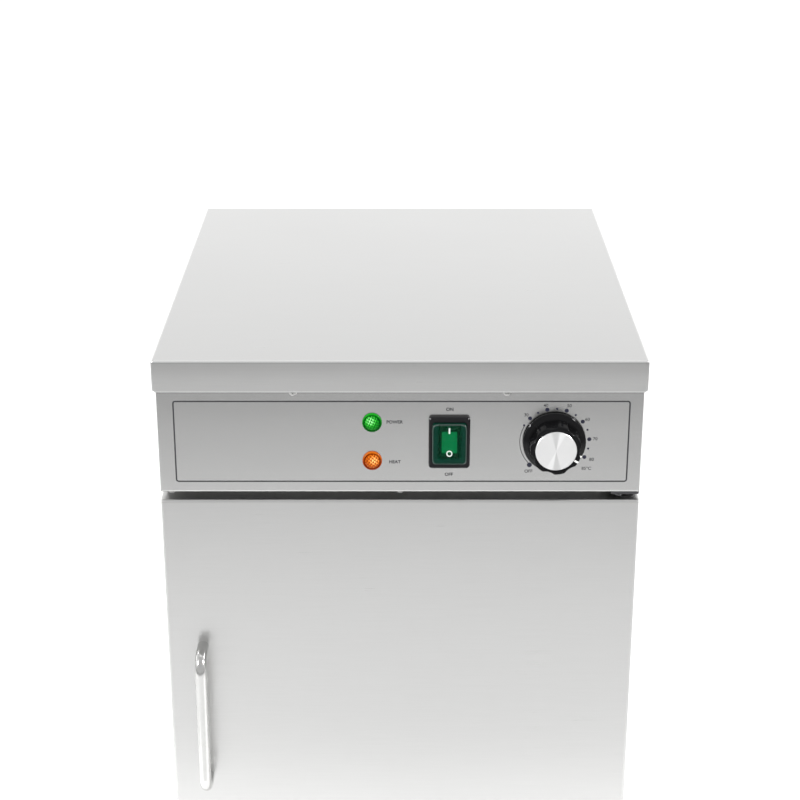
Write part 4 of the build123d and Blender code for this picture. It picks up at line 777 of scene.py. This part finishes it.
class MakeControls(bpy.types.Operator):
    """Makes the knob's marks, the lit lamps and the switch"""

    bl_idname = "cabinet.controls"
    bl_label = "Knob, lamps and switch"

    def execute(self, context):
        setting = context.scene.cabinet_controls
        gloss = moulding("knob_gloss", tint(0.005, 0.005, 0.0055), 0.1, 0.0, 0.13)
        grip = Shape(facing_front(DIAL_X, z=CONTROL_Z))
        grip.turned(knob_profile(), 336, lobed)
        finish_piece("knob_grip", grip.mesh("knob_grip"), gloss, "knob", ["knob_body"], 50.0)
        disc = Shape(facing_front(DIAL_X, -251.3 * MM, CONTROL_Z))
        disc.turned(disc_profile(), 120)
        finish_piece("knob_disc", disc.mesh("knob_disc"), spun_disc(), "knob", ["knob_cap"], 10.0)
        white = ink("ink_white", tint(0.85, 0.85, 0.83))
        finish_piece("knob_pointer", pointer_mesh(), white, "knob")

        dress(moulding("bezel_gloss", tint(0.007, 0.007, 0.008), 0.2, 0.02, 0.24), "switch_housing")
        dress(clear_cover(), "switch_cover")
        dress(lit_rocker(), "switch_rocker")
        finish_piece("rocker_marks", rocker_marks(), milky_marks(), "rocker")
        lamps = (  # name, dark and bright colour, palest colour of the painted highlight, height above the dial, facets' turn, hot spot of the painted highlight
            ("green", tint(0.0, 0.07, 0.004), setting.green, tint(0.5, 0.95, 0.5), 17.0, 24.0, (-1.2, 2.4)),
            ("orange", tint(0.17, 0.02, 0.001), setting.orange, tint(1.0, 0.75, 0.3), -17.0, 38.0, (1.4, 1.4)))
        for name, dark, bright, pale, above, degrees, hot_spot in lamps:
            centre_z = CONTROL_Z + above * MM
            turn = math.radians(degrees)
            lens = lit_lens(f"lens_{name}_lit", dark, tint(*bright), pale, centre_z, turn,
                            [offset * MM for offset in hot_spot], setting.glow)
            finish_piece(f"{name}_lens", lens_mesh(centre_z, turn), lens, "cabinet",
                         [f"{name}_lamp_lens"], 6.0)
        return {"FINISHED"}


def knob_profile():
    """The knob's outline as (radius, height above the fascia): its skirt, shoulder, grip and the disc's recess."""
    points = [(CORE, 1.2), (25.3, 1.2), (25.75, 1.35), (26.0, 1.75), (26.0, 2.9), (25.93, 3.25), (25.72, 3.55),
              (25.4, 3.82), (24.0, 4.76), (22.9, 5.5), (22.45, 5.85), (22.2, 5.97), (21.95, 6.0), (21.8, 6.1),
              (21.76, 6.4), (21.7, 7.2), (21.5, 11.0), (21.2, 17.0), (21.04, 20.2), (20.95, 20.55), (20.75, 20.82),
              (20.45, 20.97), (20.2, 21.0), (17.35, 21.0), (17.2, 20.95), (17.15, 20.8), (17.15, 20.4), (CORE, 20.4)]
    return [(radius * MM, height * MM) for radius, height in points]


def lobed(radius, height, angle):
    """Cuts the grip's wide flutes. They end at the shoulder and follow the round of the front edge."""
    flutes, flute_radius, flute_centre = 7, 13.0 * MM, 32.4 * MM
    recess_radius, shoulder = 17.5 * MM, 5.99 * MM
    if radius < recess_radius or height < shoulder:
        return radius, height
    pitch = 2 * math.pi / flutes
    off_flute = (angle - math.radians(90.0 - POINTER_ANGLE)) % pitch - pitch / 2
    reach = flute_centre * math.sin(off_flute)
    if abs(reach) >= flute_radius:
        return radius, height
    fluted = flute_centre * math.cos(off_flute) - math.sqrt(flute_radius ** 2 - reach ** 2)
    if height > 20.3 * MM:
        full = 21.8 * MM - 0.0533 * (height - 6.0 * MM)
        fluted -= max(0.0, full - radius)
    soft = 0.35 * MM
    gap = radius - fluted
    if gap > soft:
        radius = fluted
    elif gap > -soft:
        radius -= (gap + soft) ** 2 / (4 * soft)
    return radius, height


def disc_profile():
    """The disc's outline as (radius, height): fine turned grooves, a chamfered edge and a flat back."""
    rim, groove, depth, plain_rim, chamfer, back = 16.9 * MM, 0.42 * MM, 0.025 * MM, 0.5 * MM, 0.3 * MM, -0.88 * MM
    profile = [(CORE * MM, 0.0)]
    steps = int((rim - plain_rim) / groove * 2)
    for step in range(1, steps + 1):
        profile.append((step * groove / 2, -depth if step % 2 else 0.0))
    return profile + [(rim - chamfer, 0.0), (rim, -chamfer), (rim, back), (CORE * MM, back)]


def pointer_mesh():
    """The white line down the knob's front edge and side and over its skirt."""
    half, lift = 0.8 * MM, 0.07 * MM
    line = [(17.35, 251.0), (20.4, 251.0), (20.9, 250.7), (21.05, 250.2), (21.8, 236.1), (22.4, 235.88), (25.4, 233.82),
            (25.9, 233.3)]  # (distance from the knob's axis, distance in front of the cabinet's middle)
    under, over = [], []
    for place, (radius, depth) in enumerate(line):
        before = line[max(place - 1, 0)]
        after = line[min(place + 1, len(line) - 1)]
        run = Vector((after[0] - before[0], after[1] - before[1])).normalized()
        out = Vector((-run.y, run.x))
        point = Vector((radius, depth)) * MM
        under.append(point - out * lift)
        over.append(point + out * lift)
    shape = Shape(Matrix.Translation((DIAL_X, 0, CONTROL_Z)) @ Matrix.Rotation(math.radians(POINTER_ANGLE), 4, "Y"))
    shape.strip([[(side, -point.y, point.x) for point in row] for side in (-half, half) for row in (under, over)],
                closed=False)
    return shape.mesh("knob_pointer")


def rocker_marks():
    """The line on the rocker's upper half and the ring on its lower half."""
    thick = 0.08 * MM
    marks = Shape(facing_front(SWITCH_X, -231.94 * MM, 508.1 * MM))
    marks.slab(rounded_outline(1.3 * MM, 5.0 * MM, 0.2 * MM, (0.0, 0.0), 3), thick)
    lean = Matrix.Rotation(math.radians(-18.1), 4, "X")
    marks.matrix = Matrix.Translation((SWITCH_X, -235.12 * MM, 489.15 * MM)) @ lean @ UPRIGHT
    marks.band(circle(2.5 * MM, 40), circle(1.65 * MM, 40), thick)
    return marks.mesh("rocker_marks")


def lens_mesh(centre_z, turn):
    """A lamp lens: a rounded outer ring, a groove and a dome of small pyramid facets."""
    points = [(5.9, -1.2), (8.0, -1.2), (8.1, 0.0), (8.1, 1.2), (7.95, 1.75), (7.6, 2.1), (7.2, 2.2), (6.85, 2.05),
              (6.7, 1.6), (6.65, 1.0), (6.4, 0.95), (6.3, 1.2), (6.2, 1.9), (5.95, 2.6)]
    profile = [(radius * MM, height * MM) for radius, height in points]
    back_radius, back = profile[0]
    dome, foot = profile[-1]
    rise, relief, plain_edge = 1.75 * MM, 0.45 * MM, 0.8 * MM
    rings, segments = 34, 96

    def faceted(radius, _, angle):
        across = radius * math.cos(angle + turn) / FACET_PITCH
        up = radius * math.sin(angle + turn) / FACET_PITCH
        facet = 1 - abs(across % 1 - 0.5) - abs(up % 1 - 0.5)
        edge = min(1.0, (dome - radius) / plain_edge)
        height = foot + rise * math.sqrt(max(0.0, 1 - (radius / dome) ** 2)) + relief * (facet - 0.5) * edge
        return radius, height

    shape = Shape(facing_front(LAMP_X, z=centre_z))
    shape.turned(profile, segments)
    shape.turned([(dome * (1 - ring / rings), foot) for ring in range(rings + 1)], segments, faceted)
    shape.add([(x, y, back) for x, y in circle(back_radius, segments)], [range(segments)])
    return shape.mesh("lamp_lens", merge=1e-6)


def screw_mesh():
    """A pan-head screw with a cross recess. Its seat is at zero and its head points along z."""
    head, crown, shank, tip = 3.7 * MM, 1.8 * MM, 2.0 * MM, -6.0 * MM
    arm, reach, depth = 0.5 * MM, 1.9 * MM, 1.1 * MM
    edge_level = 0.92
    rings, segments = 12, 32
    profile = [(CORE * MM, tip), (shank, tip), (shank, 0.0), (head, 0.0), (head, crown * 0.45),
               (head * 0.96, crown * 0.66), (head * 0.84, crown * 0.84), (head * 0.7, crown * edge_level)]
    inner_radius, inner_height = profile[-1]

    def recessed(radius, _, angle):
        x, y = abs(radius * math.cos(angle)), abs(radius * math.sin(angle))
        level = crown * (edge_level + (1 - edge_level) * (1 - (radius / inner_radius) ** 2))
        if min(x, y) < arm and max(x, y) < reach:
            level -= depth * (1 - 0.5 * max(x, y) / reach)
        return radius, level

    shape = Shape()
    shape.turned(profile, segments)
    shape.turned([(inner_radius * (1 - ring / rings) + CORE * MM, inner_height) for ring in range(rings + 1)],
                 segments, recessed)
    return shape.mesh("screw", merge=2e-7)


class MakeScrews(bpy.types.Operator):
    """Sets a cross-recess screw on each seat of the cabinet"""

    bl_idname = "cabinet.screws"
    bl_label = "Screws"

    def execute(self, context):
        # Each seat is a place in millimetres and the way that its screw's head faces.
        forward, backward, down = (0.0, -1.0, 0.0), (0.0, 1.0, 0.0), (0.0, 0.0, -1.0)
        seats = [((x, -230.0, 542.5), forward) for x in (-87.5, 87.5)]
        seats += [((127.3 + side * 14.0, -230.0, 498.0), forward) for side in (-1, 1)]
        for side in (-1, 1):
            seats += [((side * 192.5, 230.0, 68.0 + 140.0 * row), backward) for row in range(4)]
            seats.append(((side * 120.0, 233.0, 556.25), backward))
            seats += [((side * 193.0, -150.0 + 100.0 * row, 35.0), down) for row in range(4)]
        seats += [((x, -224.0, 452.0), down) for x in (-191.0, 0.0)]
        hinge_seats = [((183.0, y, 449.5), down) for y in (-225.0, -210.0)]
        hinge_seats += [((193.0, y, 32.5), down) for y in (-185.0, -170.0)]
        for name, screws, bearer, replaced in (("cross_head_screws", seats, "cabinet_screws", ["cabinet_screws"]),
                                               ("hinge_screws", hinge_seats, "top_hinge_bracket", ())):
            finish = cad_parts[bearer].material_slots[0].material
            grown = grow_on_seats(
                screw_mesh(), [(tuple(value * MM for value in place), way, 1.0) for place, way in screws], finish)
            finish_piece(name, grown, finish, "cabinet", replaced, 40.0)
        return {"FINISHED"}


class MakeGasket(bpy.types.Operator):
    """Draws the door's soft bellows seal along its frame"""

    bl_idname = "cabinet.gasket"
    bl_label = "Door gasket"

    def execute(self, context):
        half_profile = [(5.0, 0.0), (5.0, 0.9), (4.3, 1.35), (3.5, 1.7), (4.4, 2.1), (4.9, 2.7), (5.0, 3.4), (4.7, 4.1),
                        (4.0, 4.55), (3.2, 4.7)]
        profile = half_profile + [(-across, up) for across, up in reversed(half_profile)]
        section = linked("gasket_section", loop_mesh(
            "gasket_section", [(across * MM, up * MM, 0.0) for across, up in profile]))
        path = [(x, y, 0.0) for x, y in rounded_outline(360.0 * MM, 386.0 * MM, 7.5 * MM, (0.0, 245.0 * MM), 6)]
        rubber = moulding("gasket_rubber_soft", tint(0.02, 0.02, 0.022), 0.62, 0.3)
        grown = moulded_strip_tree().grow(loop_mesh("gasket_path", path), {"Profile": section, "Material": rubber})
        bpy.data.objects.remove(section)
        grown.transform(facing_front(y=-205.0 * MM))
        finish_piece("bellows_gasket", grown, rubber, "door", ["door_gasket"], 40.0)
        return {"FINISHED"}


def pale_floor(tone):
    """A wide floor with a faint cloudiness."""
    reach = 9.0
    mesh = bpy.data.meshes.new("floor")
    mesh.from_pydata([(x * reach, y * reach, 0.0) for x, y in SQUARE], [], [(0, 1, 2, 3)])
    look = Look("floor_pale")
    cloud = look.noise(look.place(), scale=3.0)
    mesh.materials.append(look.surface(
        Base_Color=look.mix(cloud, grey(tone), tint(tone * 0.99, tone * 0.99, tone * 0.985)), Roughness=0.8))
    return linked("floor", mesh)


def dark_card(near):
    """A card around the cabinet that only its reflections show, darker further out."""
    far, height = 7.0, 4.0 * MM
    mesh = bpy.data.meshes.new("dark_card")
    mesh.from_pydata([(x * half, y * half, height) for half in (near, far) for x, y in SQUARE], [],
                     [(side, (side + 1) % 4, 4 + (side + 1) % 4, 4 + side) for side in range(4)])
    look = Look("card_grey")
    felt = look.noise(look.place(), scale=30.0)
    x, y, _ = look.axes()
    fade = look.between(distance(x, y), near + 0.43, near + 1.25) + (felt - 0.5) * 0.03
    mesh.materials.append(look.surface(Base_Color=look.mix(fade, grey(0.63), grey(0.33)), Roughness=0.9))
    card = linked("dark_card", mesh)
    card.visible_camera = card.visible_diffuse = card.visible_shadow = False
    return card


def studio_walls(setting):
    """The even light of the studio's walls. The camera itself sees them as plain white."""
    seen_brightness = 1.1
    sky = Look("studio", "worlds")
    _, toward_back, upward = sky.axes(sky.node("ShaderNodeTexCoord").outputs["Generated"])
    glow = 1 + setting.horizon_glow * (1 - sky.between(upward, 0.1, 0.45))
    behind = sky.between(toward_back, -0.4, 0.45)
    walls = setting.front_wall + (setting.back_wall * glow - setting.front_wall) * behind
    seen = Value(sky, sky.node("ShaderNodeLightPath").outputs["Is Camera Ray"])
    strength = walls * (1 - seen) + seen * seen_brightness
    lit = sky.node("ShaderNodeBackground", sockets={"Color": grey(1.0), "Strength": strength})
    sky.node("ShaderNodeOutputWorld", sockets={"Surface": lit.outputs[0]})
    return sky.owner


def hang_lights(overhead):
    """Two small lights in front, a large one over the cabinet and an even light from above."""
    aim = Vector((0, 0, 0.35))
    lights = (("key", (-1.21, -0.67, 1.02), 0.17, 16.0), ("rim", (1.38, -0.73, 1.38), 0.17, 18.0),
              ("top", (0.0, 0.6, 2.6), 2.0, 8.0))
    for name, place, size, power in lights:
        light = bpy.data.lights.new(name, "AREA")
        light.shape = "SQUARE"
        light.size = size
        light.energy = power
        lamp = linked(name, light)
        lamp.location = place
        lamp.rotation_mode = "QUATERNION"
        lamp.rotation_quaternion = (aim - Vector(place)).to_track_quat("-Z", "Y")
    sunlight = bpy.data.lights.new("overhead", "SUN")
    sunlight.energy = overhead
    sunlight.angle = math.radians(70.0)
    sun = linked("overhead", sunlight)
    sun.rotation_euler = (math.radians(12.0), 0.0, 0.0)
    sun.visible_glossy = False


class SetStage(bpy.types.Operator):
    """Sets the floor, the soft light and the camera"""

    bl_idname = "cabinet.stage"
    bl_label = "Stage"

    def execute(self, context):
        scene = context.scene
        setting = scene.cabinet_stage
        floor = pale_floor(setting.floor_tone)
        card = dark_card(setting.card_distance)
        scene.world = studio_walls(setting)
        hang_lights(setting.overhead)
        view = bpy.data.cameras.new("camera")
        view.lens = setting.lens
        camera = linked("camera", view)
        camera.location = (0.0, -1.6112, 1.0742)
        camera.rotation_euler = (math.pi / 2 - setting.tilt, 0.0, 0.0)
        scene.camera = camera
        scene.view_settings.view_transform = "Standard"
        return {"FINISHED"}


class CabinetPanel(bpy.types.Panel):
    """Lists the cabinet's pieces and their settings"""

    bl_idname = "VIEW3D_PT_cabinet"
    bl_label = "Plate warmer cabinet"
    bl_space_type = "VIEW_3D"
    bl_region_type = "UI"
    bl_category = "Cabinet"

    def draw(self, context):
        for settings, operators in PANEL_ROWS:
            column = self.layout.box().column()
            group = getattr(context.scene, settings)
            for name in group.__annotations__:
                column.prop(group, name)
            for operator in operators:
                column.operator(operator.bl_idname)


GROUPS = {
    "cabinet_steel": CabinetSteel,
    "cabinet_print": CabinetPrint,
    "cabinet_controls": CabinetControls,
    "cabinet_stage": CabinetStage,
}
OPERATORS = (DressCasing, PrintFascia, MakeControls, MakeScrews, MakeGasket, SetStage)
PANEL_ROWS = (
    ("cabinet_steel", (DressCasing, MakeScrews, MakeGasket)),
    ("cabinet_print", (PrintFascia,)),
    ("cabinet_controls", (MakeControls,)),
    ("cabinet_stage", (SetStage,)),
)


def register():
    for group in (*GROUPS.values(), *OPERATORS, CabinetPanel):
        bpy.utils.register_class(group)
    for name, group in GROUPS.items():
        setattr(bpy.types.Scene, name, bpy.props.PointerProperty(type=group))


def unregister():
    for name in GROUPS:
        delattr(bpy.types.Scene, name)
    for group in (CabinetPanel, *reversed(OPERATORS), *GROUPS.values()):
        bpy.utils.unregister_class(group)


def main():
    register()
    for operator in OPERATORS:
        category, name = operator.bl_idname.split(".")
        getattr(getattr(bpy.ops, category), name)()


if __name__ == "__main__":
    main()
